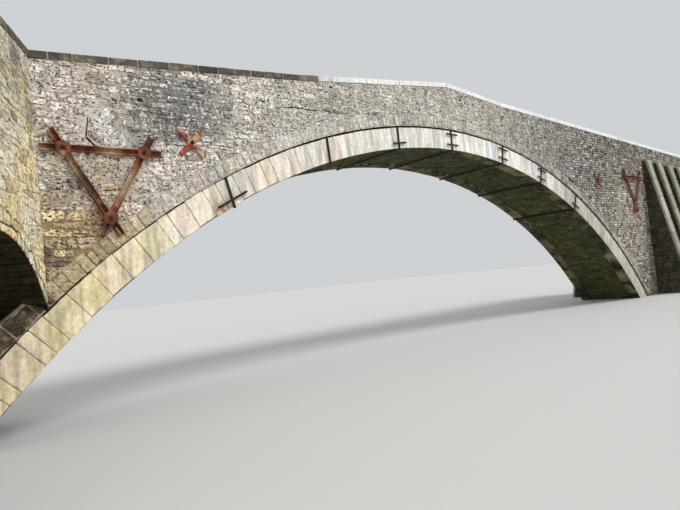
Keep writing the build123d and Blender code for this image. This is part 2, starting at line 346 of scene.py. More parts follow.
def approach_face(depth, side):
    return flat(CORNER_POINT - OUT * depth, ALONG, OUT * -side)


# Outlines and how they are cut


def edges(outline):
    return zip(outline, outline[1:] + outline[:1])


def with_neighbours(outline):
    """Each corner, between the one before it and the one after it."""
    return zip(outline[-1:] + outline[:-1], outline, outline[1:] + outline[:1])


def centre(outline):
    count = len(outline)
    return sum(u for u, _ in outline) / count, sum(v for _, v in outline) / count


def area(outline):
    return sum(u0 * v1 - u1 * v0 for (u0, v0), (u1, v1) in edges(outline)) / 2


def perimeter(outline):
    return sum(math.dist(start, end) for start, end in edges(outline))


def box_outline(u0, u1, v0, v1):
    return [(u0, v0), (u1, v0), (u1, v1), (u0, v1)]


def clipped(outline, cut):
    """What is left of a convex outline on the kept side of a line."""
    pu, pv, nu, nv = cut
    kept = []
    for start, end in edges(outline):
        side = (start[0] - pu) * nu + (start[1] - pv) * nv
        next_side = (end[0] - pu) * nu + (end[1] - pv) * nv
        if side >= 0:
            kept.append(start)
        if (side >= 0) != (next_side >= 0):
            kept.append(mixed(start, end, side / (side - next_side)))
    return kept


def without_doubles(outline, least=0.006):
    kept = []
    for point in outline:
        if not kept or math.dist(point, kept[-1]) > least:
            kept.append(point)
    if len(kept) > 1 and math.dist(kept[0], kept[-1]) <= least:
        kept.pop()
    return kept


def inward(start, end):
    """Unit normal on the inner side of an outline's edge."""
    length = math.dist(start, end)
    return -(end[1] - start[1]) / length, (end[0] - start[0]) / length


def inset(outline, distance):
    """A convex outline with its sides moved inwards."""
    distance = min(distance, 0.8 * area(outline) / perimeter(outline))
    moved = []
    for before, (u, v), after in with_neighbours(outline):
        in_u, in_v = inward(before, (u, v))
        out_u, out_v = inward((u, v), after)
        size = max(1 + in_u * out_u + in_v * out_v, 0.35)
        moved.append((u + (in_u + out_u) * distance / size, v + (in_v + out_v) * distance / size))
    return moved


def broken(outline, rng, share):
    """An outline with some of its corners knocked off."""
    result = []
    for before, corner, after in with_neighbours(outline):
        if rng.random() > share:
            result.append(corner)
        else:
            result += [mixed(corner, other, rng.uniform(*CHIPS)) for other in (before, after)]
    return result


def ragged(outline, rng, depth, most=0.15):
    """An outline with points along its sides, each moved a little in or out."""
    result = []
    for start, end in edges(outline):
        result.append(start)
        in_u, in_v = inward(start, end)
        steps = int(math.dist(start, end) / most)
        for i in range(1, steps + 1):
            u, v = mixed(start, end, i / (steps + 1))
            shift = rng.uniform(-depth, depth)
            result.append((u + in_u * shift, v + in_v * shift))
    return result


def point_inside(outline, u, v, margin):
    """Whether a place lies within an outline that runs anticlockwise, or near it."""
    for start, end in edges(outline):
        in_u, in_v = inward(start, end)
        if (u - start[0]) * in_u + (v - start[1]) * in_v < -margin:
            return False
    return True


# Kept sides of lines, as a point and a direction, each worked out for a stone's middle


def within(u0=None, u1=None, v0=None, v1=None):
    """Cuts at the sides of a rectangle. A side that isn't given stays open."""
    sides = [(u0, (u0, 0, 1, 0)), (u1, (u1, 0, -1, 0)), (v0, (0, v0, 0, 1)), (v1, (0, v1, 0, -1))]
    return [lambda u, v, cut=cut: cut for value, cut in sides if value is not None]


def beside_mitre(run, side):
    """Kept side of the line across a road where it turns the corner."""
    size = math.hypot(1, MITRE_SLOPE)
    return lambda u, v: (run, 0, side / size, MITRE_SLOPE / size)


def beside_line(line, drop, side):
    """Kept side of a bent line that is moved down: over it for side 1, under it for -1."""
    def cut(u, v):
        step = 0.05
        slope = (height_at(line, u + step) - height_at(line, u - step)) / (2 * step)
        size = math.hypot(1, slope)
        return u, height_at(line, u) - drop, -side * slope / size, side / size
    return cut


def beyond_circle(cu, cv, radius):
    def cut(u, v):
        size = math.hypot(u - cu, v - cv)
        nu = (u - cu) / size
        nv = (v - cv) / size
        return cu + nu * radius, cv + nv * radius, nu, nv
    return cut


# The crack in the near face: its ends, how it wanders as heights and rates of waves, its
# width, and how many lengths its bottom, painted dark with its shadow, is made of
CRACK_START = (-6.64, 6.83)
CRACK_END = (-4.41, 6.91)
CRACK_SLOPE = (CRACK_END[1] - CRACK_START[1]) / (CRACK_END[0] - CRACK_START[0])
CRACK_WAVES = ((0.012, 7), (0.007, 23))
CRACK_GAP = 0.026
CRACK_LENGTHS = 24


def crack_height(u):
    """Height of the crack's middle, which wanders about a straight line."""
    straight = CRACK_START[1] + CRACK_SLOPE * (u - CRACK_START[0])
    return straight + sum(height * math.sin(u * rate) for height, rate in CRACK_WAVES)


def off_crack(u, v):
    """Kept side of the crack."""
    if not CRACK_START[0] < u < CRACK_END[0]:
        return u - 10, v, 1, 0
    height = crack_height(u)
    side = 1 if v > height else -1
    size = math.hypot(1, CRACK_SLOPE)
    return u, height + side * CRACK_GAP / 2, -side * CRACK_SLOPE / size, side / size


# How masonry is laid


@dataclass(frozen=True)
class Bond:
    """A kind of masonry: mean sizes, how uneven they are, and how its stones are worked."""
    course: float
    length: float
    joint: float = 0.014
    rise: float = 0.012
    wave: float = 0.15
    spread: float = 0.3
    break_off: float = 0.5
    split: float = 0.12
    jump: float = 0.1
    tilt: float = 0.05
    # How light its joints stay under dirt and painted shade
    shade: float = 0.45


ROUGH_RUBBLE = Bond(0.14, 0.23, joint=0.015, rise=0.016, wave=0.42, spread=0.5, break_off=0.85,
                    split=0.22, tilt=0.13, shade=0.68)
FINE_RUBBLE = Bond(0.085, 0.15, rise=0.013, wave=0.34, spread=0.45, break_off=0.75, tilt=0.16,
                   shade=0.7)
PATCH_RUBBLE = Bond(0.08, 0.11, joint=0.016, rise=0.016, wave=0.4, spread=0.5, break_off=0.9,
                    tilt=0.2, shade=0.6)
COURSED_RUBBLE = Bond(0.105, 0.2, joint=0.018, rise=0.014, wave=0.06, spread=0.24, break_off=0.4,
                      split=0.02, jump=0.02, shade=0.32)
BIG_BLOCKS = Bond(0.19, 0.38, joint=0.026, rise=0.022, wave=0.16, spread=0.35, break_off=0.6,
                  split=0.3, jump=0, tilt=0.06, shade=0.4)
WING_RUBBLE = Bond(0.15, 0.24, joint=0.015, rise=0.016, wave=0.4, spread=0.5, break_off=0.85,
                   split=0.2, tilt=0.13, shade=0.78)
VAULT_ROWS = Bond(0.2, 0.34, wave=0.05, spread=0.25, break_off=0.3, split=0, jump=0, shade=0.4)
COBBLES = Bond(0.16, 0.2, break_off=0.9, split=0, jump=0)
PLAIN_RUBBLE = Bond(0.15, 0.28, joint=0.016, wave=0.2, spread=0.35, break_off=0.45, tilt=0.08)
END_RUBBLE = Bond(0.15, 0.28, joint=0.018, rise=END_RISE, wave=0.2, break_off=0.4, tilt=0)


# Shift and rate of the long wave of a bed, then of its short wave
WAVE_BOUNDS = ((0, 6.3), (1.5, 3), (0, 6.3), (4, 8))


def courses(bond, u0, u1, v0, v1, rng):
    """Outlines of the stones that fill a field in rough courses."""
    levels = [v0]
    while levels[-1] < v1:
        levels.append(levels[-1] + bond.course * rng.uniform(1 - bond.spread, 1 + bond.spread))
    waves = [[rng.uniform(*bounds) for bounds in WAVE_BOUNDS] for _ in levels]
    wave = bond.wave * bond.course
    spread = bond.spread * 1.5
    shortest = 0.35

    def bed(k, u):
        shift, rate, fine_shift, fine_rate = waves[k]
        height = 0.7 * math.sin(u * rate + shift) + 0.3 * math.sin(u * fine_rate + fine_shift)
        return levels[k] + height * wave

    taken = []
    for k in range(len(levels) - 1):
        jumpers = []
        u = u0 - rng.uniform(0, bond.length)
        slant = 0
        while u < u1:
            start = u
            end = u + bond.length * max(rng.uniform(1 - spread, 1 + 1.3 * spread), shortest)
            blocked = [b for b in taken if b[0] < end and b[1] > start]
            if blocked:
                if blocked[0][0] - start <= bond.length * shortest:
                    u = blocked[0][1]
                    slant = 0
                    continue
                end = blocked[0][0]
            next_slant = rng.uniform(-0.8, 0.8) * wave
            jumps = not blocked and k + 2 < len(levels) and rng.random() < bond.jump
            top = k + 2 if jumps else k + 1
            if jumps:
                jumpers.append((start, end))
            outline = [
                (start - slant, bed(k, start)),
                (end - next_slant, bed(k, end)),
                (end + next_slant, bed(top, end)),
                (start + slant, bed(top, start)),
            ]
            if not jumps and rng.random() < bond.split:
                share = rng.uniform(*SPLITS)
                left = (start, outline[0][1] + (outline[3][1] - outline[0][1]) * share)
                right = (end, outline[1][1] + (outline[2][1] - outline[1][1]) * share)
                yield [outline[0], outline[1], right, left]
                yield [left, right, outline[2], outline[3]]
            else:
                yield outline
            slant = next_slant
            u = end
        taken = jumpers


def add_piece(name, points, faces, material):
    """A new object of the scene, not yet bound to the frame."""
    mesh = bpy.data.meshes.new(name)
    mesh.from_pydata([tuple(point) for point in points], [], faces)
    mesh.materials.append(material)
    piece = bpy.data.objects.new(name, mesh)
    bpy.context.scene.collection.objects.link(piece)
    return piece


# Profile of a stone from its joint to its face: how far in, how high, and how far clear of the dirt
# and painted shade of the joint
STONE_STEPS = ((0.4, 0.7, 0.5), (1.5, 1.0, 1.0))

# How unevenly dirt and painted shade darken the joints round a stone, and the darkest and lightest
# that they get
JOINT_SPREAD = 0.4
JOINT_RANGE = (0.2, 1.05)

# Corners of a box, and of its sides, in order
ENDS = [(i & 1, i >> 1 & 1, i >> 2 & 1) for i in range(8)]
SQUARE = ((0, 0), (1, 0), (1, 1), (0, 1))


class Stones:
    """One mesh of stones, each with its own tone. The fourth value of a tone is its lichen."""

    def __init__(self, name, slot, material):
        self.name = name
        self.slot = slot
        self.material = material
        self.points = []
        self.faces = []
        self.tones = []

    def face(self, surface, indices, outward=True):
        same_way = surface.mirrored != outward
        self.faces.append(tuple(indices if same_way else reversed(indices)))

    def stone(self, surface, outline, rise, bevel, tone, rng, tilt=0.05, shade=0.45):
        """A rough-faced stone that stands out of a face. shade is how light its joints stay under
        the dirt and painted shade that darken them.
        """
        count = len(outline)
        start = len(self.points)
        mid_u, mid_v = centre(outline)
        limit = surface.limit(mid_u, mid_v)
        lean_u = rng.uniform(-tilt, tilt)
        lean_v = rng.uniform(-tilt, tilt)
        darkest, lightest = JOINT_RANGE
        # The foot of each side darkens at random: dirt and painted shade in the joint
        for u, v in outline:
            self.points.append(surface.place(u, v, -SEAT))
            dark = min(max(rng.gauss(shade, JOINT_SPREAD), darkest), lightest)
            self.tones.append(scaled_tone(tone, dark))
        for distance, share, clear_of_shade_and_dirt in STONE_STEPS:
            for u, v in inset(outline, bevel * distance):
                lean = lean_u * (u - mid_u) + lean_v * (v - mid_v)
                height = share * rise * rng.uniform(*CORNER_RISES) + lean
                self.points.append(surface.place(u, v, min(max(height, 0.001), limit)))
            self.tones += [scaled_tone(tone, shade + (1 - shade) * clear_of_shade_and_dirt)] * count
        middle = min(rise * rng.uniform(*MIDDLE_RISES), limit)
        self.points.append(surface.place(mid_u, mid_v, middle))
        self.tones.append(tone)
        steps = len(STONE_STEPS)
        for i in range(count):
            j = (i + 1) % count
            for k in range(steps):
                low = start + k * count
                high = low + count
                self.face(surface, (low + i, low + j, high + j, high + i))
            last = start + steps * count
            self.face(surface, (last + i, last + j, last + count))

    def block(self, surface, ranges, bevel, tone, rng, wear=0.0, underside_shade=None):
        """A dressed block with chamfered arrises. ranges are those of its run, height and rise; a
        tone given for its underside and back is painted shade there.
        """
        index = {}
        for ends in ENDS:
            for axis in range(3):
                spot = []
                for k, (low, high) in enumerate(ranges):
                    chamfer = 0 if k == axis else bevel
                    value = high - chamfer if ends[k] else low + chamfer
                    spot.append(value + rng.uniform(-wear, wear))
                index[ends, axis] = len(self.points)
                self.points.append(surface.place(*spot))
                hidden = axis > 0 and ends[axis] == 0
                self.tones.append(underside_shade if underside_shade and hidden else tone)
        for axis in range(3):
            first, second = [k for k in range(3) if k != axis]
            turned = axis != 1

            def end_at(end, a, b):
                ends = {axis: end, first: a, second: b}
                return ends[0], ends[1], ends[2]

            for end in (0, 1):
                side = [index[end_at(end, a, b), axis] for a, b in SQUARE]
                self.face(surface, side, (end == 1) == turned)
            for a, b in SQUARE:
                low = end_at(0, a, b)
                high = end_at(1, a, b)
                strip = [index[low, first], index[low, second],
                         index[high, second], index[high, first]]
                self.face(surface, strip, (a == b) == turned)
        for ends in ENDS:
            self.face(surface, [index[ends, axis] for axis in range(3)], sum(ends) % 2 == 1)

    def build(self, replaces=()):
        piece = add_piece(self.name, self.points, self.faces, self.material)
        layer = piece.data.color_attributes.new("tone", "FLOAT_COLOR", "POINT")
        layer.data.foreach_set("color", [value for tone in self.tones for value in tone])
        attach(piece, ROOT)
        if replaces:
            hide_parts(*replaces)


def lay(stones, surface, bond, field, paint, rng, keep=None, skip=None):
    """Fills a field of a face with stones, cut where the face ends or else at the field."""
    least_area = 0.12 * bond.course * bond.length
    keep = within(*field) if keep is None else keep
    for outline in courses(bond, *field, rng):
        u, v = centre(outline)
        if skip and skip(u, v):
            continue
        for cut in keep:
            outline = clipped(outline, cut(u, v)) if len(outline) > 2 else []
        outline = without_doubles(outline)
        if len(outline) < 3 or area(outline) < least_area:
            continue
        if area(outline) / perimeter(outline) < bond.joint:
            continue
        outline = inset(outline, bond.joint * rng.uniform(*JOINTS))
        outline = without_doubles(broken(outline, rng, bond.break_off))
        if len(outline) < 3:
            continue
        rise = bond.rise * rng.uniform(*RISES)
        target = stones(u) if callable(stones) else stones
        tone = paint(u, v, rng)
        target.stone(surface, outline, rise, RUBBLE_BEVEL, tone, rng, bond.tilt, bond.shade)


# Materials

# Where the noise that makes pits is darkest and where it ends, for most stone and for rubble
PIT_BAND = (0.39, 0.47)
SHARP_PITS = (0.43, 0.485)

# Lichen: its scale, where it starts and is full, and how strong the grey one is beside it
GROWTH = (2.6, 0.5, 0.62, 0.75)
BARE_GROWTH = (2.6, 0.5, 0.62, 0)
DRESSED_GROWTH = (1.1, 0.46, 0.64, 0.3)
PALE_LICHEN = (206, 194, 140)
GREY_LICHEN = (150, 138, 130)

# Rust that has run down stones, bright rust on irons, and how much every material shines
RUST_RUN = (178, 122, 90)
ORANGE_RUST = (176, 108, 60)
SHEEN = 0.25


class Nodes:
    """A material's node tree, with short ways to add the nodes that it is made of."""

    def __init__(self, name):
        self.material = bpy.data.materials.new(name)
        self.material.use_nodes = True
        self.tree = self.material.node_tree
        self.shader = self.tree.nodes["Principled BSDF"]
        self.coordinates = self.add("ShaderNodeTexCoord").outputs["Object"]

    def add(self, kind, inputs=None, **settings):
        node = self.tree.nodes.new(kind)
        for key, value in settings.items():
            setattr(node, key, value)
        for key, value in (inputs or {}).items():
            self.put(node.inputs[key], value)
        return node

    def put(self, socket, value):
        if isinstance(value, bpy.types.NodeSocket):
            self.tree.links.new(value, socket)
        else:
            socket.default_value = value

    def noise(self, scale, detail=4, roughness=0.55, stretch=(1, 1, 1)):
        mapped = self.add("ShaderNodeMapping", {"Vector": self.coordinates, "Scale": stretch})
        inputs = {"Vector": mapped.outputs["Vector"], "Scale": scale, "Detail": detail,
                  "Roughness": roughness}
        return self.add("ShaderNodeTexNoise", inputs).outputs["Fac"]

    def spread(self, value, low, high, to_low=0.0, to_high=1.0):
        inputs = {"Value": value, "From Min": low, "From Max": high, "To Min": to_low,
                  "To Max": to_high}
        return self.add("ShaderNodeMapRange", inputs).outputs["Result"]

    def patches(self, scale, detail, roughness, *ends, stretch=(1, 1, 1)):
        """Noise between two of its values, and what these turn into."""
        return self.spread(self.noise(scale, detail, roughness, stretch), *ends)

    def math(self, operation, first, second):
        node = self.add("ShaderNodeMath", {0: first, 1: second}, operation=operation)
        return node.outputs["Value"]

    def times(self, first, second):
        return self.math("MULTIPLY", first, second)

    def blend(self, share, first, second, kind="MIX"):
        """A colour between two, or their product."""
        inputs = {0: share, 6: first, 7: second}
        node = self.add("ShaderNodeMix", inputs, data_type="RGBA", blend_type=kind)
        return node.outputs[2]

    def run(self):
        return self.add("ShaderNodeSeparateXYZ", {"Vector": self.coordinates}).outputs["X"]

    def distance(self, vector, point):
        node = self.add("ShaderNodeVectorMath", {0: vector, 1: point}, operation="DISTANCE")
        return node.outputs["Value"]

    def near(self, point, radius):
        """1 at a point, falling to 0 at a radius."""
        return self.spread(self.distance(self.coordinates, point), radius * 0.35, radius, 1, 0)

    def relief(self, fine, coarse, detail, roughness=0.7):
        """Height of a fine and a coarse noise together."""
        return self.math("ADD", self.noise(fine, 9, roughness), self.noise(coarse, detail))

    def finish(self, colour, roughness, height, strength, distance):
        """The material, with a height that makes its relief."""
        inputs = {"Height": height, "Strength": strength, "Distance": distance}
        normal = self.add("ShaderNodeBump", inputs).outputs["Normal"]
        self.put(self.shader.inputs["Base Color"], colour)
        self.put(self.shader.inputs["Roughness"], roughness)
        self.put(self.shader.inputs["Normal"], normal)
        self.shader.inputs["Specular IOR Level"].default_value = SHEEN
        return self.material


def weathered(nodes, colour, streaks, blotches, grain, pits, streak_size=7, pit_band=PIT_BAND):
    """Breaks a colour up with run-down streaks, blotches, grain and dark pits."""
    stretch = (streak_size, streak_size, streak_size / 8)
    streak = nodes.patches(1.0, 6, 0.6, 0.36, 0.62, 1 - streaks, 1 + streaks * 0.4, stretch=stretch)
    blotch = nodes.patches(0.9, 7, 0.6, 0.3, 0.7, 1 - blotches, 1 + blotches)
    fine = nodes.patches(11, 9, 0.72, 0.32, 0.68, 1 - grain, 1 + grain)
    pit = nodes.patches(17, 9, 0.7, *pit_band, 1 - pits, 1, stretch=(1, 1, 1.6))
    light = nodes.times(nodes.times(streak, blotch), nodes.times(fine, pit))
    inputs = {"Red": light, "Green": light, "Blue": light}
    grey = nodes.add("ShaderNodeCombineColor", inputs).outputs["Color"]
    return nodes.blend(1.0, colour, grey, "MULTIPLY")


def stone_material(name, streaks=0.15, blotches=0.14, grain=0.4, pits=0.7, bump=0.8, stains=(),
                   lichen=PALE_LICHEN, streak_size=7, growth=GROWTH, pit_band=PIT_BAND):
    """Stone that takes its tone from the mesh. stains are places and sizes of rust runs."""
    nodes = Nodes(name)
    tone = nodes.add("ShaderNodeAttribute", attribute_name="tone")
    scale, low, high, grey = growth
    where = nodes.times(nodes.patches(scale, 9, 0.68, low, high), tone.outputs["Alpha"])
    colour = nodes.blend(where, tone.outputs["Color"], solid(lichen))
    where = nodes.times(nodes.patches(3.4, 9, 0.7, 0.52, 0.62, 0, grey), tone.outputs["Alpha"])
    colour = nodes.blend(where, colour, solid(GREY_LICHEN))
    for point, radius in stains:
        where = nodes.times(nodes.near(point, radius), nodes.patches(7, 8, 0.65, 0.36, 0.6))
        colour = nodes.blend(where, colour, solid(RUST_RUN))
    colour = weathered(nodes, colour, streaks, blotches, grain, pits, streak_size, pit_band)
    return nodes.finish(colour, 0.92, nodes.relief(26, 9, 5), bump, 0.03)


def plain_material(name, first, second):
    """Matt mortar that wanders between two colours."""
    nodes = Nodes(name)
    colour = nodes.blend(nodes.patches(6.0, 9, 0.66, 0.42, 0.56), solid(first), solid(second))
    colour = weathered(nodes, colour, 0.15, 0.15, 0.35, 0.4)
    return nodes.finish(colour, 0.95, nodes.relief(34, 11, 4), 0.7, 0.02)


def mortar_material(name, crevice_shade, pale, dull, tints=()):
    """Mortar with crevices dark with painted shade, paler at the left, duller at the right, tinted
    at places.
    """
    nodes = Nodes(name)
    dulled = nodes.spread(nodes.run(), ARCH_X + DULL_RUNS[0], ARCH_X + DULL_RUNS[1])
    colour = nodes.blend(dulled, solid(pale), solid(dull))
    for u, v, radius, tint in tints:
        colour = nodes.blend(nodes.near(on_main(u, 0, v), radius), colour, solid(tint))
    filled = nodes.math("ADD", nodes.noise(9, 9, 0.7), nodes.spread(dulled, 0, 1, 0.05, 0))
    # Crevices in the mortar: painted shade in open joints
    colour = nodes.blend(nodes.spread(filled, 0.40, 0.5, 1, 0), colour, solid(crevice_shade))
    colour = weathered(nodes, colour, 0.1, 0.15, 0.35, 0.4)
    return nodes.finish(colour, 0.95, nodes.relief(30, 11, 4), 0.7, 0.02)


def ring_mortar_material():
    """Brown mortar between the ring stones, nearly black with painted shadow in the open joint
    under the outer ring, and dark with painted shade along the soffit.
    """
    nodes = Nodes("ring_mortar")
    inputs = {0: nodes.coordinates, 1: (1, 0, 1)}
    flattened = nodes.add("ShaderNodeVectorMath", inputs, operation="MULTIPLY")
    radius = nodes.distance(flattened.outputs["Vector"], (ARCH_X, 0, ARCH_Z))
    share = nodes.patches(5, 9, 0.66, 0.42, 0.56)
    colour = nodes.blend(share, solid((112, 95, 74)), solid((190, 172, 142)))
    # Painted shadow in the open joint under the outer ring
    joint = SOFFIT + RING_DEPTH - EXTRADOS_JOINT
    colour = nodes.blend(nodes.spread(radius, joint - 0.016, joint), colour, solid((30, 24, 20)))
    # Painted shade along the soffit
    underside_shade = nodes.spread(radius, SOFFIT + 0.004, SOFFIT + 0.02, 1, 0)
    colour = nodes.blend(underside_shade, colour, (*RING_SOFFIT_SHADE, 1))
    return nodes.finish(colour, 0.95, nodes.noise(30, 9, 0.7), 0.6, 0.02)


def iron_material(name, base, red, pale, pale_share, scale, right=None, tints=()):
    """Rusty iron: dark scale, red rust and pale flaked stretches, of another red at the right."""
    nodes = Nodes(name)
    colour = nodes.blend(nodes.patches(scale * 1.4, 8, 0.6, 0.42, 0.56), solid(base), solid(red))
    flaked = nodes.patches(scale, 9, 0.66, 0.5, 0.58, 0, pale_share)
    colour = nodes.blend(flaked, colour, solid(pale))
    orange = nodes.patches(scale * 2.3, 8, 0.7, 0.6, 0.68, 0, 0.75, stretch=(1, 1, 0.6))
    colour = nodes.blend(orange, colour, solid(ORANGE_RUST))
    if right:
        share = nodes.spread(nodes.run(), ARCH_X, ARCH_X + 1, 0, 0.8)
        colour = nodes.blend(share, colour, solid(right))
    for point, radius, tint, share in tints:
        colour = nodes.blend(nodes.times(nodes.near(point, radius), share), colour, solid(tint))
    colour = weathered(nodes, colour, 0.2, 0.2, 0.3, 0.3, 14)
    return nodes.finish(colour, 0.82, nodes.relief(55, 16, 5, 0.75), 0.7, 0.008)


# Tones

SLAB_TONE = linear(226, 220, 216)
CREAM = linear(220, 210, 200)
GREY = linear(183, 181, 177)
BEIGE = linear(210, 205, 195)
CROWN = linear(208, 204, 194)
RIGHT_GREY = linear(175, 173, 168)
RIGHT_BROWN = linear(164, 159, 149)
RIGHT_FOOT = linear(206, 198, 182)
BRIGHT = linear(240, 232, 222)
OCHRE = linear(201, 178, 131)
DULL = linear(184, 168, 150)
CORNER_DARKER = linear(104, 96, 92)
PINK = linear(196, 174, 160)
RUST_STAIN = linear(168, 130, 108)
WHITE_STONE = linear(243, 239, 232)
RING_CREAM = linear(252, 245, 230)
RING_OCHRE = linear(244, 228, 184)
RING_PINK = linear(240, 222, 206)
RING_RIGHT = linear(190, 183, 172)
# Painted shade under the dressed ring
RING_SOFFIT_SHADE = linear(52, 52, 38)
SHADED_RING = linear(86, 74, 56)
FOOT_RING = linear(196, 176, 142)
# Stone of the main vault, dark olive and brown with painted shade
SHADED_VAULT_OLIVE = linear(66, 71, 44)
SHADED_VAULT_BROWN = linear(82, 80, 48)
# Stone of the flood vault and its piers, dark with painted shade
SHADED_FLOOD_STONE = linear(48, 41, 24)
COPING_DARK = linear(86, 78, 72)
COPING_PALE = linear(242, 240, 234)
COPING_BED = linear(164, 156, 142)
# Rubble of the buttresses' sides, dark with painted shade
SHADED_BUTTRESS = linear(72, 68, 58)
SLAB_PALE = linear(170, 168, 156)
ROAD_GREY = linear(170, 165, 155)
# Painted shadow in the holes, the gaps round the slab and the crack
PAINTED_HOLE_SHADOW = linear(42, 38, 34)
WING_OCHRE = linear(218, 200, 154)
WING_PALE = linear(244, 234, 214)

# Brightest that any stone may be
MOST_LIGHT = 0.95

# Soft patches on the walls, each as the run and height of its middle and its half width and
# height: the grey weathered field, then all of them with their tones and strengths
GREY_FIELDS = [(-10.05, 6.45, 0.95, 0.85), (-8.85, 6.5, 1.05, 0.85), (-9.6, 7.15, 0.5, 0.35)]
FIELDS = [
    (GREY, 0.95, GREY_FIELDS),
    (CREAM, 0.9, [(-11.4, 6.4, 1.0, 1.1), (-10.9, 5.2, 1.0, 0.8)]),
    (OCHRE, 0.85, [(-12.0, 3.6, 1.3, 0.9)]),
    (DULL, 0.8, [(-11.2, 4.75, 0.9, 0.6)]),
    (RUST_STAIN, 0.25, [(14.25, 4.0, 0.5, 1.9), (10.5, 4.9, 0.22, 0.9), (-10.9, 4.9, 0.3, 0.35)]),
    (RIGHT_FOOT, 0.8, [(13.4, 3.4, 2.4, 2.4)]),
    # Darker in a strip down the corner
    (CORNER_DARKER, 0.85, [(-12.3, 2.9, 0.3, 1.1)]),
    (BRIGHT, 0.9, [(-7.3, 7.15, 0.9, 0.35)]),
]
PATCH_BOUNDS = (-11.6, -7.2, 5.2, 7.7)

# Where the mortar of the walls turns dull, and its tinted places with their reaches
DULL_RUNS = (3.0, 10.0)
MORTAR_TINTS = [(-12.0, 3.3, 1.7, (150, 132, 102)), (-9.4, 6.5, 1.7, (134, 130, 128)),
                (13.4, 3.4, 3.2, (128, 122, 110)), (-14.2, 1.0, 2.2, (66, 56, 42))]

# The square holes, the leaning slab in its bed, the stone under it and the gaps round it; the
# holes and gaps are painted dark with their shadow
HOLES = [(-10.2, 6.52), (-7.13, 6.93), (-4.83, 7.6), (-4.13, 7.85), (-3.13, 8.01),
         (-2.19, 8.06), (0.96, 8.02), (14.02, 7.16)]
HOLE_SIZE = 0.07
SLAB_BED = [(-11.38, 5.6), (-11.2, 5.43), (-10.9, 5.38), (-10.58, 5.42), (-10.57, 5.6),
            (-10.62, 5.74), (-10.86, 6.0), (-11.02, 6.06), (-11.3, 6.05)]
LEANING_SLAB = [(-11.25, 5.76), (-11.0, 5.55), (-10.85, 5.42), (-10.58, 5.44), (-10.57, 5.6),
                (-10.62, 5.74), (-10.86, 5.99), (-11.02, 6.05), (-11.26, 6.03)]
UNDER_SLAB = [(-11.31, 5.68), (-11.17, 5.53), (-10.98, 5.46), (-10.96, 5.47), (-11.04, 5.55),
              (-11.27, 5.76), (-11.3, 5.77)]
VOIDS = [[(-11.37, 5.62), (-11.34, 5.62), (-11.275, 6.03), (-11.3, 6.04)],
         [(-11.37, 5.6), (-11.2, 5.44), (-11.18, 5.46), (-11.33, 5.63)],
         [(-11.2, 5.44), (-10.9, 5.39), (-10.86, 5.41), (-11.18, 5.475)]]

# Where the squared blocks over the left foot end, how far rubble keeps off them and the slab,
# and the rust run on the dressed ring
BLOCK_ZONE = (-10.9, 4.25)
BLOCK_MARGINS = (0.06, 0.04)
SLAB_MARGIN = 0.08
KEY_STAIN_ANGLE = -27.8
KEY_STAIN_DEPTH = 0.05


def varied(colour, rng, value, warmth, lichen):
    """A colour with a random lightness and warmth."""
    warm = rng.gauss(0, warmth)
    brightest = max(colour) * (1 + abs(warm))
    light = min(max(1 + rng.gauss(0, value), 0.4), MOST_LIGHT / brightest)
    tone = [c * light * k for c, k in zip(colour, (1 + warm, 1, 1 - warm))]
    return (*tone, lichen)


def painted(colour, value, warmth, lichen):
    """Tone function of stones that are much alike all over a face."""
    return lambda u, v, rng: varied(colour, rng, value, warmth, lichen)


# Walls that the near side doesn't show, and other even faces
plain_tone = painted(mixed(RIGHT_GREY, CREAM, 0.5), 0.14, 0.04, 0.4)
# Flood vault and piers, dark with painted shade
flood_tone = painted(SHADED_FLOOD_STONE, 0.2, 0.05, 0.3)
road_tone = painted(ROAD_GREY, 0.12, 0.03, 0.3)
# Buttress sides, dark with painted shade
buttress_tone = painted(SHADED_BUTTRESS, 0.22, 0.04, 0.3)


def patch(u, v, cu, cv, ru, rv):
    """How far a place lies inside a soft, ragged patch."""
    wander = 0.4 * noise.noise(Vector((u * 1.7, v * 1.7, 3.1)))
    return 1 - smooth(0.65, 1.1, math.hypot((u - cu) / ru, (v - cv) / rv) + wander)


def greyness(u, v):
    """How far a place lies in the grey weathered field."""
    return max(patch(u, v, *field) for field in GREY_FIELDS)


def wall_base(u, v):
    """Mean tone of the main walls at a place."""
    base = mixed(CREAM, BEIGE, smooth(-10, -6, u))
    base = mixed(base, CROWN, smooth(-6, -1, u))
    base = mixed(base, RIGHT_GREY, smooth(1, 6, u))
    base = mixed(base, RIGHT_BROWN, smooth(8.5, 13, u))
    for colour, share, places in FIELDS:
        for place in places:
            base = mixed(base, colour, share * patch(u, v, *place))
    return base


def wall_tone(u, v, rng):
    """Tone of a main wall's stone. Some right of the crown are pink, a few dark or white."""
    base = wall_base(u, v)
    pink_start = 1
    pink_share = 0.15
    if u > pink_start and rng.random() < pink_share:
        base = mixed(base, PINK, 0.5)
    rough = max(smooth(2, 7, u), 0.7 * greyness(u, v))
    dark_share = 0.06 + 0.06 * rough
    white_share = 0.08 + 0.03 * rough
    draw = rng.random()
    if draw < dark_share:
        base = scaled(base, 0.5 - 0.1 * rough)
    elif draw > 1 - white_share:
        base = mixed(base, WHITE_STONE, 0.45)
    base = scaled(base, 1.18 - 0.12 * smooth(-9, -4, u) - 0.06 * smooth(0, 5, u))
    lichen = 0.4 * smooth(-9.5, -11.5, u) + 0.15
    return varied(base, rng, 0.14 + 0.13 * rough, 0.02, lichen)


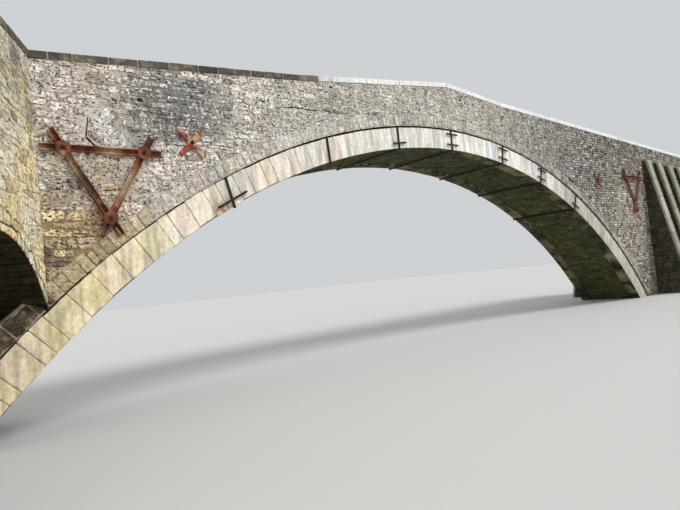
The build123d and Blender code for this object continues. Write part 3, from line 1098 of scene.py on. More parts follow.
def wing_tone(u, v, rng):
    """Tone of an approach wall's stone, brighter at the foot and brown at the top."""
    wander = noise.noise(Vector((u * 0.8, v * 0.8, 1.0)))
    base = mixed(WING_PALE, WING_OCHRE, smooth(-0.3, 0.4, wander))
    base = scaled(base, 1.26 + 0.08 * smooth(3.4, 2.8, v))
    base = mixed(base, RIGHT_BROWN, 0.68 * smooth(4.9, 6.2, v))
    dark_share = 0.09
    if rng.random() < dark_share:
        base = scaled(base, 0.5)
    return varied(base, rng, 0.14, 0.03, 0.5)


# Vault stones, dark with painted shade and lighter towards the feet
def vault_tone(u, v, rng):
    base = mixed(SHADED_VAULT_OLIVE, SHADED_VAULT_BROWN, rng.random())
    return varied(scaled(base, 1 + 0.25 * smooth(6, 12, abs(v))), rng, 0.2, 0.03, 0.3)


def ring_tone(angle, rng):
    """Tone of a dressed ring stone at an angle from the crown."""
    base = scaled(mixed(RING_OCHRE, RING_CREAM, smooth(-46, -33, angle)), 1.05)
    base = mixed(base, WHITE_STONE, smooth(-24, -10, angle))
    base = mixed(base, RING_RIGHT, 0.9 * smooth(9, 30, angle))
    base = scaled(base, 1 - 0.13 * smooth(-36, -30, angle) * smooth(-6, -14, angle))
    draw = rng.random()
    coloured_end = -20
    ochre_share = 0.25
    pink_share = 0.3
    if angle < coloured_end and draw < ochre_share:
        base = mixed(base, RING_OCHRE, 0.6 if angle < FOOT_ANGLE else 0.2)
    elif angle < coloured_end and draw > 1 - pink_share:
        base = mixed(base, RING_PINK, 0.6)
    return varied(base, rng, 0.07, 0.02, 0.15 + 0.75 * smooth(-26, -38, angle))


def coping_tone(run, rng):
    """Dark weathered slabs at the left, bright ones from left of the summit on."""
    base = mixed(COPING_DARK, COPING_PALE, smooth(-6.2, -4.8, run))
    worn = 1 - smooth(-6, -4, run)
    return varied(base, rng, 0.05 + 0.1 * worn, 0.03, 0.5 * worn)


# Main walls

# Where the rubble of a main face changes its bond, and how ragged the change is
FINE_START = -5.6
COURSED_START = 7.7
RAGGED = 0.9
FINE_FOOT = ARCH_Z + math.sqrt(HAUNCH ** 2 - (COURSED_START + RAGGED) ** 2)

# How many pieces the rubble of a main face is parted into, and where
PARTINGS = [-5.0, 0.5, 6.6]
PART_NAMES = ["left", "left_crown", "right_crown", "right"]


def zone(u, v, patched):
    """The bond of a place on a main face."""
    if patched and greyness(u, v) > 0.4:
        return PATCH_RUBBLE
    shifted = u + RAGGED * noise.noise(Vector((u * 0.9, v * 0.9, 7.7)))
    if shifted < FINE_START:
        return ROUGH_RUBBLE
    return FINE_RUBBLE if shifted < COURSED_START else COURSED_RUBBLE


def main_walls():
    """Rubble of the spandrels and parapets on both faces of the bridge."""
    hub_height = 0.2
    stain_reach = 0.7
    stains = [(on_main(low_u + 0.5 * (high_u - low_u), 0, low_v + hub_height), stain_reach)
              for low_u, high_u, low_v, _ in TRIANGLES]
    material = stone_material("rubble_stone", grain=0.6, pits=0.95, stains=stains,
                              pit_band=SHARP_PITS)
    block_run, block_height = BLOCK_ZONE
    for side, y, out in SIDES:
        rng = random.Random(f"wall {side}")
        shown = side == "near"
        start = CORNER - MITRE_SLOPE * (y - NEAR_Y)
        surface = main_face(y - NEAR_Y, out, clear_of_irons)
        pieces = [Stones(f"rubble_{side}_{name}", "rubble_stone", material) for name in PART_NAMES]

        def pick(u):
            return pieces[sum(u > parting for parting in PARTINGS)]

        holes = HOLES if shown else []

        def taken(u, v):
            if u < block_run + BLOCK_MARGINS[0] and v < block_height + BLOCK_MARGINS[1]:
                return True
            if shown and point_inside(SLAB_BED, u, v, SLAB_MARGIN):
                return True
            return any(math.dist((u, v), hole) < HOLE_SIZE for hole in holes)

        ends = within(start, RIGHT_END, 0) + [beyond_circle(0, ARCH_Z, HAUNCH - 0.05)]
        lay(pieces[0], surface, BIG_BLOCKS, (start, block_run, 0, block_height), wall_tone, rng,
            ends + within(u1=block_run, v1=block_height))
        keep = ends + [beside_line(MAIN_TOP, COPING_THICKNESS, -1)]
        fields = [(ROUGH_RUBBLE, (start, FINE_START + RAGGED, 0, PEAK)),
                  (FINE_RUBBLE, (FINE_START - RAGGED, COURSED_START + RAGGED, FINE_FOOT, PEAK)),
                  (COURSED_RUBBLE, (COURSED_START - RAGGED, RIGHT_END, 0, PEAK))]
        if shown:
            keep.append(off_crack)
            fields.append((PATCH_RUBBLE, PATCH_BOUNDS))
        for bond, field in fields:
            lay(pick, surface, bond, field, wall_tone, rng, keep,
                lambda u, v: taken(u, v) or zone(u, v, shown) is not bond)
        # Each hole is a patch of painted shadow
        for u, v in holes:
            size = HOLE_SIZE * rng.uniform(0.8, 1.3)
            half = size / 2
            outline = [(u - size, v - half), (u + size, v - half), (u + half, v + half),
                       (u - half, v + half)]
            pick(u).stone(surface, outline, 0.001, 0.01, (*PAINTED_HOLE_SHADOW, 0), rng)
        if shown:
            leaning_slab(pieces[0], surface, rng)
            crack(pick, surface, rng)
        for piece in pieces:
            piece.build()


def leaning_slab(stones, surface, rng):
    """The slab that leans in its bed, the stone under it and the gaps beside them, dark with
    painted shadow.
    """
    stones.stone(surface, LEANING_SLAB, MOST_RISE, 0.014, (*SLAB_TONE, 0.1), rng, 0.01, 0.8)
    stones.stone(surface, UNDER_SLAB, 0.008, 0.01, (*DULL, 0.3), rng)
    for void in VOIDS:
        stones.stone(surface, void, 0.002, 0.006, (*PAINTED_HOLE_SHADOW, 0), rng)


def crack(pick, surface, rng):
    """The bottom of the crack, dark with painted shadow, in short lengths."""
    step = (CRACK_END[0] - CRACK_START[0]) / CRACK_LENGTHS
    for i in range(CRACK_LENGTHS):
        u = CRACK_START[0] + i * step
        half = CRACK_GAP * rng.uniform(0.2, 0.75)
        low = crack_height(u)
        high = crack_height(u + step)
        outline = [(u, low - half), (u + step, high - half), (u + step, high + half),
                   (u, low + half)]
        pick(u).stone(surface, outline, 0.001, 0.002, (*PAINTED_HOLE_SHADOW, 0), rng)


# Approach walls and the flood arch


def in_main_body(surface):
    """Tells whether a place on a face lies in the body of the main bridge."""
    def test(u, v):
        spot = surface.place(u, v, 0)
        return NEAR_Y < spot.y < FAR_Y and math.hypot(main_run(spot), spot.z - ARCH_Z) < HAUNCH
    return test


def flood_spot(turn, beyond):
    """Run and height of a place round the flood arch, beyond its soffit."""
    across, up = arc(FLOOD_RADIUS + beyond, turn)
    return FLOOD_MIDDLE + across, FLOOD_Z + up


def approach_walls():
    """Rubble of the approach's walls, over the flood arch and on both sides of it."""
    material = stone_material("wing_stone", grain=0.5, pits=0.85, bump=1.0, lichen=(226, 206, 140))
    over = within(v0=FLOOD_SPRINGING)
    over += [beyond_circle(FLOOD_MIDDLE, FLOOD_Z, FLOOD_RADIUS + FLOOD_RING_DEPTH),
             beside_line(APPROACH_TOP, COPING_THICKNESS, -1)]
    for side, y, out in SIDES:
        rng = random.Random(f"approach {side}")
        stones = Stones(f"approach_rubble_{side}", "rubble_stone", material)
        surface = approach_face(y - NEAR_Y, out)
        buried = in_main_body(surface)
        end = MITRE_SLOPE * (y - NEAR_Y)
        ends = within(APPROACH_END, end)
        lay(stones, surface, WING_RUBBLE, (APPROACH_END, end, FLOOD_SPRINGING, APPROACH_PEAK),
            wing_tone, rng, ends + over, buried)
        lay(stones, surface, WING_RUBBLE, (APPROACH_END, FLOOD_LEFT, 0, FLOOD_SPRINGING),
            wing_tone, rng, ends + within(None, FLOOD_LEFT, 0, FLOOD_SPRINGING))
        if side == "far":
            lay(stones, surface, WING_RUBBLE, (FLOOD_RIGHT, end, 0, FLOOD_SPRINGING),
                wing_tone, rng, ends + within(FLOOD_RIGHT, None, 0, FLOOD_SPRINGING), buried)
        flood_voussoirs(stones, surface, rng, buried)
        stones.build()


def flood_voussoirs(stones, surface, rng, buried):
    """Rough stones on edge round the flood arch, in two layers, with a wedge at each foot."""
    ring = Surface(lambda u, v, rise: surface.place(*flood_spot(u / FLOOD_RADIUS, v), rise))
    limit = FLOOD_RADIUS * FLOOD_TURN
    sill = 0.004
    tilt = 0.12
    shade = 0.65
    u = -limit
    while u < limit - 0.05:
        end = min(u + FLOOD_STONE * rng.uniform(*EDGE_LENGTHS), limit)
        layer = FLOOD_RING_DEPTH * rng.uniform(0.4, 0.7)
        run, height = flood_spot((u + end) / 2 / FLOOD_RADIUS, 0.2)
        if not buried(run, height):
            for low, high in ((sill, layer), (layer, FLOOD_RING_DEPTH)):
                outline = broken(inset(box_outline(u, end, low, high), FLOOD_GAP), rng, 0.7)
                tone = wing_tone(run, height, rng)
                stones.stone(ring, outline, rng.uniform(0.008, 0.02), 0.012, tone, rng, tilt, shade)
        u = end
    reach = FLOOD_RADIUS + FLOOD_RING_DEPTH
    level = FLOOD_SPRINGING - FLOOD_Z
    wedge = [(FLOOD_SPAN / 2, level), (math.sqrt(reach ** 2 - level ** 2), level),
             arc(reach, FLOOD_TURN)]
    for side in (-1, 1):
        outline = [(FLOOD_MIDDLE + side * across, FLOOD_Z + up) for across, up in wedge[::side]]
        if not buried(*centre(outline)):
            tone = wing_tone(*centre(outline), rng)
            stones.stone(surface, inset(outline, FLOOD_GAP), 0.014, 0.012, tone, rng, tilt, shade)


def under_flood_arch():
    """Rows across the flood vault, and the faces of the piers that carry it, all dark with painted
    shade.
    """
    def place(u, v, rise):
        run, height = flood_spot(v / FLOOD_RADIUS, -rise)
        return on_approach(run, u, height)

    material = stone_material("flood_vault_stone", streaks=0.1, blotches=0.25, lichen=(90, 74, 44),
                              growth=BARE_GROWTH)
    stones = Stones("flood_vault_stones", "vault_stone", material)
    rng = random.Random("flood vault")
    limit = FLOOD_RADIUS * FLOOD_TURN
    faces = [(Surface(place), VAULT_ROWS, -limit, limit)]
    for run, way in ((FLOOD_LEFT, 1), (FLOOD_RIGHT, -1)):
        pier = flat(CORNER_POINT + ALONG * run, -OUT, ALONG * way)
        faces.append((pier, PLAIN_RUBBLE, 0, FLOOD_SPRINGING))
    for face, bond, low, high in faces:
        lay(stones, face, bond, (0, WIDTH, low, high), flood_tone, rng, skip=in_main_body(face))
    stones.build()


# Rings and vault of the main arch

# Stretches of the outer ring, as angles: smooth, split, and weathered at the left foot
SMOOTH_BAND = (-21.5, -15.5)
SPLIT_BAND = (-29.5, -24.0)
FOOT_ANGLE = -33.0


@dataclass(frozen=True)
class RingStretch:
    """Stones of a stretch of the outer ring. A range without width takes no random draw."""
    width: float = 0.17
    layered: float = 1
    torn: tuple = (-0.07, 0)
    lean: tuple = (-0.03, 0.03)
    gap: tuple = (0.004, 0.012)
    ragged: float = 0.01
    broken: float = 0.4
    rise: tuple = (0.008, 0.02)
    spread: float = 0.15
    tilt: float = 0.07
    shade: float = 0.5


LOOSE = RingStretch()
WORN = RingStretch(width=0.22, layered=0.2)
SPLIT = RingStretch(width=0.22, layered=0, lean=(0, 0), gap=(0.022, 0.022), shade=0.35)
EVEN = RingStretch(width=0.34, layered=0.2, torn=(0, 0), lean=(0, 0), ragged=0.003, broken=0.2,
                   rise=(0.006, 0.006), spread=0.06, tilt=0.0)


def drawn(rng, low, high):
    return low if low == high else rng.uniform(low, high)


def stretch_at(angle):
    if SMOOTH_BAND[0] < angle < SMOOTH_BAND[1]:
        return EVEN
    if SPLIT_BAND[0] < angle < SPLIT_BAND[1]:
        return SPLIT
    return WORN if angle < FOOT_ANGLE else LOOSE


def main_rings():
    """Dressed voussoirs that turn under the arch, with the stones of the outer ring over them."""
    across, up = arc(SOFFIT + KEY_STAIN_DEPTH, math.radians(KEY_STAIN_ANGLE))
    dressed = stone_material("dressed_stone", streaks=0.34, blotches=0.12, grain=0.18, pits=0.12,
                             bump=0.6, lichen=(232, 214, 158), streak_size=6, growth=DRESSED_GROWTH,
                             stains=[(on_main(across, 0, ARCH_Z + up), 0.34)])
    rubble = stone_material("outer_ring_stone")
    limit = SOFFIT * math.asin((ring_high.x - ARCH_X) / RING_TOP)
    for side, y, out in SIDES:
        rng = random.Random(f"ring {side}")
        surface = polar(y, out)
        front = polar(y - out * (RING_SETBACK - VOUSSOIR_BED), out)
        ring = Stones(f"voussoirs_{side}", "dressed_stone", dressed)
        u = -limit
        while u < limit - 0.1:
            end = min(u + VOUSSOIR_LENGTH * rng.uniform(*VOUSSOIR_LENGTHS), limit)
            if limit - end < LAST_VOUSSOIR:
                end = limit
            voussoir(ring, surface, front, u, end, rng)
            u = end
        ring.build()
        outer_ring(side, surface, rubble, rng)


def voussoir(ring, surface, front, start, end, rng):
    """A block through the ring's edge with a picked face, rougher towards the left foot."""
    angle = math.degrees((start + end) / 2 / SOFFIT)
    rough = smooth(-14, -28, angle)
    low = -0.006 + rng.uniform(-0.008, 0.022) * (0.3 + rough)
    joint = EXTRADOS_JOINT * (1 - 0.65 * rough)
    high = RING_DEPTH - joint + rng.uniform(-0.018, 0.008) * (0.5 + 0.5 * rough)
    tone = ring_tone(angle, rng)
    # Painted shade on the ring's soffit
    underside_shade = varied(RING_SOFFIT_SHADE, rng, 0.15, 0.03, 0.3)
    across = (start + VOUSSOIR_GAP, end - VOUSSOIR_GAP)
    ranges = (across, (low, high), (-FACE_WIDTH, -RING_SETBACK + VOUSSOIR_BED))
    ring.block(surface, ranges, 0.004 + 0.006 * rough, scaled_tone(tone, 0.8), rng,
               wear=0.001 + 0.003 * rough, underside_shade=underside_shade)
    outline = inset(box_outline(*across, low, high), 0.003)
    outline = ragged(outline, rng, 0.001 + 0.007 * rough)
    outline = without_doubles(broken(outline, rng, 0.04 + 0.25 * rough))
    rise = 0.009 + rng.uniform(-0.003, 0.005) * (0.4 + rough)
    ring.stone(front, outline, rise, 0.005 + 0.006 * rough, tone, rng, 0.002 + 0.01 * rough,
               0.72 - 0.1 * rough)


def outer_ring(side, surface, material, rng):
    """Small stones on edge over the dressed ring, smooth over one stretch and loose in another."""
    stones = Stones(f"outer_ring_stones_{side}", "rubble_stone", material)
    limit = SOFFIT * math.asin((outer_high.x - ARCH_X) / HAUNCH)
    inner = RING_DEPTH + 0.012
    outer = HAUNCH - SOFFIT - 0.004
    least_height = 0.06
    u = -limit
    while u < limit:
        angle = math.degrees(u / SOFFIT)
        kind = stretch_at(angle)
        width = kind.width * rng.uniform(0.6, 1.4)
        spot = surface.place(u, outer, 0)
        tone = wall_base(main_run(spot), spot.z)
        if angle < SMOOTH_BAND[1]:
            tone = scaled(mixed(tone, RING_CREAM, 0.2), 0.96)
        if angle < FOOT_ANGLE:
            tone = mixed(tone, FOOT_RING, 0.8)
        if main_run(spot) < CORNER - 0.1:
            tone = SHADED_RING
        levels = [inner, outer + drawn(rng, *kind.torn)]
        if kind.layered and rng.random() < kind.layered:
            levels.insert(1, inner + rng.uniform(0.35, 0.7) * (outer - inner))
        for low, high in zip(levels, levels[1:]):
            if surface.place(u + width / 2, (low + high) / 2, 0).z < least_height:
                continue
            lean = drawn(rng, *kind.lean)
            outline = [(u, low), (u + width, low + lean), (u + width, high), (u, high - lean)]
            outline = ragged(inset(outline, drawn(rng, *kind.gap)), rng, kind.ragged)
            outline = without_doubles(broken(outline, rng, kind.broken))
            rise = drawn(rng, *kind.rise)
            paint = varied(tone, rng, kind.spread, 0.03, 0.4)
            stones.stone(surface, outline, rise, RUBBLE_BEVEL, paint, rng, kind.tilt, kind.shade)
        u += width
    stones.build()


def under_main_arch():
    """Rows of stones across the soffit, dark with painted shade: u runs across the bridge, v round
    the arch.
    """
    radius = SOFFIT + BARREL_RECESS

    def place(u, v, rise):
        across, up = arc(radius - rise, v / radius)
        return on_main(across, u, ARCH_Z + up)

    limit = radius * math.acos(-ARCH_Z / radius) - 0.02
    material = stone_material("vault_stone", streaks=0.1, blotches=0.25, grain=0.45,
                              lichen=(92, 94, 60), growth=BARE_GROWTH)
    stones = Stones("main_vault_stones", "vault_stone", material)
    field = (FACE_WIDTH, WIDTH - FACE_WIDTH, -limit, limit)
    lay(stones, Surface(place), VAULT_ROWS, field, vault_tone, random.Random("main vault"))
    stones.build()


# Parapets, road and ends


def parapet_backs():
    """Inner faces of the parapets, from the road to the copings."""
    stones = Stones("parapet_backs", "rubble_stone", stone_material("parapet_stone"))
    rng = random.Random("parapet backs")
    for depth, way in ((PARAPET_WIDTH, 1), (WIDTH - PARAPET_WIDTH, -1)):
        mitre = MITRE_SLOPE * depth
        runs = [(main_face(depth, way), CORNER - mitre, RIGHT_END, MAIN_TOP),
                (approach_face(depth, way), APPROACH_END, mitre, APPROACH_TOP)]
        for face, start, end, line in runs:
            heights = [height for _, height in line]
            keep = within(start, end)
            keep += [beside_line(line, PARAPET_HEIGHT, 1), beside_line(line, COPING_THICKNESS, -1)]
            field = (start, end, min(heights) - PARAPET_HEIGHT, max(heights))
            lay(stones, face, PLAIN_RUBBLE, field, plain_tone, rng, keep)
    stones.build()


def road():
    """Cobbles between the parapets, mitred where the road turns."""
    material = stone_material("cobble_stone", streaks=0.05, lichen=(150, 146, 110))
    stones = Stones("cobbles", "paving", material)
    rng = random.Random("road")
    across = (PARAPET_WIDTH, WIDTH - PARAPET_WIDTH)
    mitre = MITRE_SLOPE * WIDTH
    end_gap = 0.01
    runs = [(along_top(on_main, MAIN_TOP, PARAPET_HEIGHT), CORNER - mitre, RIGHT_END,
             within(u1=RIGHT_END - end_gap) + [beside_mitre(CORNER, 1)]),
            (along_top(on_approach, APPROACH_TOP, PARAPET_HEIGHT), APPROACH_END, mitre,
             within(u0=APPROACH_END + end_gap) + [beside_mitre(0, -1)])]
    for surface, start, end, ends in runs:
        keep = within(None, None, *across) + ends
        lay(stones, surface, COBBLES, (start, end, *across), road_tone, rng, keep)
    stones.build()


def end_faces():
    """Plain stone ends at the right and on the approach, nearly flush."""
    stones = Stones("end_faces", "rubble_stone", stone_material("end_stone", bump=0.5))
    rng = random.Random("ends")

    def limit(u, v):
        return END_RISE

    right = flat(on_main(RIGHT_END, 0, 0), (0, 1, 0), (1, 0, 0), limit)
    left = flat(on_approach(APPROACH_END, 0, 0), -OUT, -ALONG, limit)
    for face, line, run in ((right, MAIN_TOP, RIGHT_END), (left, APPROACH_TOP, APPROACH_END)):
        top = height_at(line, run)
        road_top = top - PARAPET_HEIGHT
        lay(stones, face, END_RUBBLE, (0, WIDTH, 0, road_top), plain_tone, rng)
        for start in (0, WIDTH - PARAPET_WIDTH):
            end = start + PARAPET_WIDTH
            lay(stones, face, END_RUBBLE, (start, end, road_top, top), plain_tone, rng,
                within(start, end, road_top, top - COPING_THICKNESS))
    stones.build()


# Buttresses and copings


def buttress_stones():
    """Rubble on the buttresses' sides, dark with painted shade, and pale slabs up their sloping
    backs.
    """
    rough = stone_material("buttress_stone", lichen=(110, 106, 74))
    slab = stone_material("slab_stone", streaks=0.2, grain=0.25, pits=0.35, bump=0.4,
                          lichen=(150, 148, 120))
    size = math.hypot(1, BUTTRESS_RAKE)
    for side, y, out in SIDES:
        rng = random.Random(f"buttress {side}")
        sides = Stones(f"buttress_rubble_{side}", "buttress_stone", rough)
        slabs = Stones(f"buttress_slabs_{side}", "coping_stone", slab)
        for i in range(BUTTRESS_COUNT):
            left = FIRST_BUTTRESS + i * BUTTRESS_SPACING
            right = left + BUTTRESS_WIDTH
            head = height_at(MAIN_TOP, right) - PARAPET_HEIGHT - BUTTRESS_HEAD_GAP
            foot = BUTTRESS_HEAD_DEPTH + BUTTRESS_RAKE * head
            back = foot - BUTTRESS_COPING * size

            def before_slope(u, v):
                return back, 0, -1 / size, -BUTTRESS_RAKE / size

            for run, way in ((left, -1), (right, 1)):
                face = flat((ARCH_X + run, y, 0), (0, out, 0), (way, 0, 0))
                lay(sides, face, PLAIN_RUBBLE, (0, back, 0, head), buttress_tone, rng,
                    within(u0=0, v0=0, v1=head) + [before_slope])
            slope(slabs, left, y, out, foot, head, rng)
        sides.build()
        slabs.build(replaces=[f"buttress_copings_{side}"])


def slope(slabs, left, y, out, foot, head, rng):
    """The slabs of one buttress, laid up its slope."""
    size = math.hypot(1, BUTTRESS_RAKE)

    def place(u, v, rise):
        reach = min(foot - BUTTRESS_RAKE / size * v + rise / size, foot)
        height = v / size + BUTTRESS_RAKE / size * rise
        return Vector((ARCH_X + left + u, y + out * reach, min(max(height, 0.0), head)))

    surface = Surface(place)
    v = -0.05
    end = (head + 0.03) * size
    while v < end:
        next_v = v + rng.uniform(*BUTTRESS_SLABS)
        if end - next_v < BEND_SLAB:
            next_v = end
        drop = rng.uniform(0, SLAB_DROP)
        tone = varied(SLAB_PALE, rng, 0.12, 0.02, 0.5)
        ranges = ((0, BUTTRESS_WIDTH), (v + BUTTRESS_JOINT, next_v - BUTTRESS_JOINT),
                  (-BUTTRESS_COPING, -drop))
        slabs.block(surface, ranges, 0.012, tone, rng, wear=SLAB_WEAR)
        v = next_v


def coping_slabs():
    """Coping slabs on a bed of mortar, in place of the plain copings."""
    material = stone_material("coping_stone", streaks=0.08, blotches=0.08, grain=0.2, pits=0.4,
                              bump=0.4, lichen=(168, 162, 132))
    main_top = along_top(on_main, MAIN_TOP, 0, lambda u, v: max(u, CORNER - MITRE_SLOPE * v))
    wing_top = along_top(on_approach, APPROACH_TOP, 0, lambda u, v: min(u, MITRE_SLOPE * v))
    for side, depth in (("near", 0), ("far", WIDTH - PARAPET_WIDTH)):
        front = depth - COPING_OVERHANG
        back = depth + PARAPET_WIDTH + COPING_OVERHANG
        mitre = MITRE_SLOPE * back
        rng = random.Random(f"coping {side}")
        main = Stones(f"coping_slabs_{side}", "coping_stone", material)
        wing = Stones(f"approach_coping_slabs_{side}", "coping_stone", material)
        for stones, surface, start, end, line in (
                (main, main_top, CORNER - mitre, RIGHT_END, MAIN_TOP),
                (wing, wing_top, APPROACH_END, mitre, APPROACH_TOP)):
            bends = [run for run, _ in line if start + LAST_SLAB < run < end - LAST_SLAB]
            stops = [start] + bends + [end]
            bed_depths = (front + BED_RECESS, back - BED_RECESS)
            for stretch in zip(stops, stops[1:]):
                ranges = (stretch, bed_depths, (-COPING_THICKNESS, -BED_DROP))
                stones.block(surface, ranges, 0.004, (*COPING_BED, 0.2), rng)
            u = start
            while u < end:
                short = stones is wing or u < SHORT_SLABS_END
                next_u = u + rng.uniform(*(SHORT_SLABS if short else LONG_SLABS))
                if end - next_u < LAST_SLAB:
                    next_u = end
                for bend in bends:
                    if u < bend - 0.05 and next_u > bend - BEND_SLAB:
                        next_u = bend
                drop = rng.uniform(0, SLAB_DROP)
                depths = (front + rng.uniform(0, 0.006), back - rng.uniform(0, 0.006))
                tone = coping_tone(CORNER if stones is wing else u, rng)
                ranges = ((u + COPING_JOINT, next_u - COPING_JOINT), depths,
                          (-COPING_THICKNESS, -drop))
                stones.block(surface, ranges, SLAB_BEVEL, tone, rng, wear=SLAB_WEAR)
                u = next_u
        main.build(replaces=[f"coping_{side}_{end}" for end in ("left", "right")])
        wing.build(replaces=[f"approach_coping_{side}"])


# Irons


def nuts():
    """A nut on a bolt end in the middle of every hub."""
    material = iron_material("nut_iron", (44, 26, 22), (84, 44, 34), (120, 84, 60), 0.3, 12)
    for side, y, out in SIDES:
        points = []
        faces = []
        for node in (f"wall_crosses_{side}", f"beam_triangles_{side}"):
            low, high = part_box(node)
            reach = high.y - low.y
            for part in (-1, 1):
                front = [co for co in corners(node)
                         if main_run(co) * part > 0 and abs(abs(co.y - y) - reach) < 0.001]
                for x, z in hub_centres(front):
                    foot = (x, y, z)
                    prism(points, faces, foot, out, NUT_RADIUS, 6, reach - NUT_SEAT,
                          reach + NUT_THICKNESS, 0.3)
                    prism(points, faces, foot, out, BOLT_RADIUS, 10, reach, reach + BOLT_REACH, 0)
        piece = add_piece(f"hub_nuts_{side}", points, faces, material)
        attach(piece, ROOT)


def hub_centres(points, hub_reach=0.35):
    """Middles of the hubs whose front corners are given."""
    groups = []
    for co in points:
        for group in groups:
            if math.dist((co.x, co.z), group[0]) < hub_reach:
                group.append((co.x, co.z))
                break
        else:
            groups.append([(co.x, co.z)])
    return [centre(sorted({(round(x, 4), round(z, 4)) for x, z in group})) for group in groups]


def prism(points, faces, foot, out, radius, sides, start, end, turn):
    """A nut or bolt end that stands out of a face, with a chamfered front."""
    first = len(points)
    x, y, z = foot
    for reach, size in ((start, 1), (end - radius * 0.2, 1), (end, 0.85)):
        for i in range(sides):
            across, up = arc(radius * size, math.pi / 2 - turn - 2 * math.pi * i / sides)
            points.append((x + across, y + out * reach, z + up))
    rings = [range(first + level * sides, first + (level + 1) * sides) for level in range(3)]
    new = [(low[i], low[i + 1 - sides], high[i + 1 - sides], high[i])
           for low, high in zip(rings, rings[1:]) for i in range(sides)]
    for face in new + [tuple(rings[2])]:
        faces.append(face if out < 0 else tuple(reversed(face)))


# Tints on an iron triangle, left and right: share of its width and height, reach, tone, strength
CREAM_RUST = (186, 164, 128)
BROWN_RUST = (140, 116, 98)
DARK_RUST = (86, 54, 48)
TRIANGLE_TINTS = [
    [(0.34, 0.5, 0.42, DARK_RUST, 0.8), (0.68, 0.5, 0.5, CREAM_RUST, 0.85),
     (0.55, 0.82, 0.32, CREAM_RUST, 0.6), (0.5, 0.12, 0.34, DARK_RUST, 0.75),
     (0.16, 0.84, 0.3, DARK_RUST, 0.5)],
    [(0.34, 0.5, 0.65, BROWN_RUST, 0.8), (0.68, 0.5, 0.65, BROWN_RUST, 0.85),
     (0.5, 0.12, 0.34, BROWN_RUST, 0.75)],
]


def triangle_tints():
    """Places, reaches, tones and strengths of the tints on the iron triangles."""
    for (low_u, high_u, low_v, high_v), tints in zip(TRIANGLES, TRIANGLE_TINTS):
        for across, up, radius, tint, strength in tints:
            run = low_u + across * (high_u - low_u)
            yield on_main(run, 0, low_v + up * (high_v - low_v)), radius, tint, strength


def dress_nodes():
    """Materials of the CAD pieces that stay: mortar behind the stones, and irons."""
    mortar = mortar_material("mortar", (70, 62, 52), (202, 194, 182), (96, 92, 85), MORTAR_TINTS)
    choices = {
        ("approach_wall", "end_pier"):
            mortar_material("wing_mortar", (110, 96, 70), (214, 200, 168), (150, 140, 120)),
        # Dark mortar of the main vault and the buttresses: painted shade
        ("main_barrel", "buttresses"): plain_material("vault_mortar", (34, 32, 22), (66, 64, 44)),
        # Dark mortar of the flood arch and its pier: painted shade
        ("flood_barrel", "corner_pier", "flood_ring"):
            plain_material("flood_mortar", (20, 18, 12), (38, 32, 20)),
        ("main_ring",): ring_mortar_material(),
        ("beam_triangles",):
            iron_material("triangle_iron", (104, 62, 52), (146, 84, 62), (212, 186, 150), 0.85, 1.6,
                          (116, 62, 60), triangle_tints()),
        ("wall_crosses",):
            iron_material("cross_iron", (116, 80, 64), (160, 72, 66), (212, 184, 146), 0.8, 4.0,
                          (106, 58, 56)),
        ("ring_straps",):
            iron_material("strap_iron", (36, 28, 26), (58, 38, 32), (84, 66, 54), 0.4, 3.0),
        ("soffit_ties",):
            iron_material("tie_iron", (28, 26, 20), (38, 34, 26), (50, 46, 34), 0.3, 3.0),
    }
    for name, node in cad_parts.items():
        found = [material for starts, material in choices.items() if name.startswith(starts)]
        node.data.materials.clear()
        node.data.materials.append(found[0] if found else mortar)


# Stage


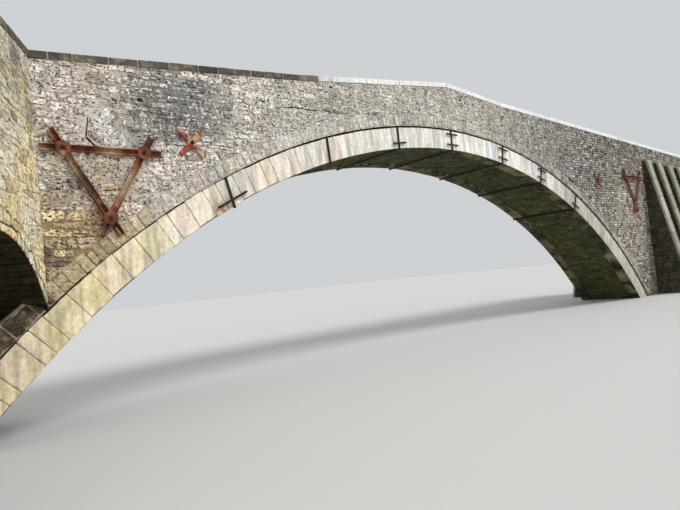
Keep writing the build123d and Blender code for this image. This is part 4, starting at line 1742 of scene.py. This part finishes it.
def floor():
    size = 200
    nodes = Nodes("floor")
    material = nodes.finish((0.56, 0.56, 0.55, 1), 0.95, nodes.noise(2.0), 0.02, 0.01)
    points = [(u, v, 0) for u, v in box_outline(-size, size, -size, size)]
    piece = add_piece("floor", points, [(0, 1, 2, 3)], material)
    piece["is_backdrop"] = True


def light():
    """A soft white studio with a weak sun, shown before a pale grey."""
    bpy.context.scene.view_settings.view_transform = "Standard"
    world = bpy.data.worlds.new("studio")
    bpy.context.scene.world = world
    world.use_nodes = True
    tree = world.node_tree
    background = tree.nodes["Background"]
    background.inputs["Color"].default_value = (1, 1, 1, 1)
    background.inputs["Strength"].default_value = 0.75
    shown = tree.nodes.new("ShaderNodeBackground")
    shown.inputs["Color"].default_value = (0.62, 0.64, 0.66, 1)
    path = tree.nodes.new("ShaderNodeLightPath")
    mix = tree.nodes.new("ShaderNodeMixShader")
    tree.links.new(path.outputs["Is Camera Ray"], mix.inputs[0])
    tree.links.new(background.outputs[0], mix.inputs[1])
    tree.links.new(shown.outputs[0], mix.inputs[2])
    tree.links.new(mix.outputs[0], tree.nodes["World Output"].inputs["Surface"])
    sun = bpy.data.lights.new("sun", "SUN")
    sun.energy = 2.0
    sun.angle = math.radians(20)
    lamp = bpy.data.objects.new("sun", sun)
    lamp.rotation_euler = Vector((0.45, -0.6, 0.75)).to_track_quat("Z", "Y").to_euler()
    bpy.context.scene.collection.objects.link(lamp)


def camera():
    data = bpy.data.cameras.new("camera")
    data.sensor_width = SENSOR_WIDTH
    data.lens = FOCAL_PIXELS / IMAGE_WIDTH * SENSOR_WIDTH
    piece = bpy.data.objects.new("camera", data)
    spot = on_main(CAMERA_RUN, -CAMERA_BEFORE_FACE, CAMERA_HEIGHT)
    stand = Matrix.Translation(spot)
    for angle, axis in ((-CAMERA_HEADING, "Z"), (90 + CAMERA_PITCH, "X"), (-CAMERA_ROLL, "Z")):
        stand = stand @ Matrix.Rotation(math.radians(angle), 4, axis)
    piece.matrix_world = stand
    bpy.context.scene.collection.objects.link(piece)
    bpy.context.scene.camera = piece


camera()
light()
floor()
dress_nodes()
main_walls()
approach_walls()
main_rings()
under_main_arch()
under_flood_arch()
parapet_backs()
road()
end_faces()
buttress_stones()
coping_slabs()
nuts()

sizes = {"cad": CAD_BOX, "visual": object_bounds()}
{key: [list(corner) for corner in box] for key, box in sizes.items()}
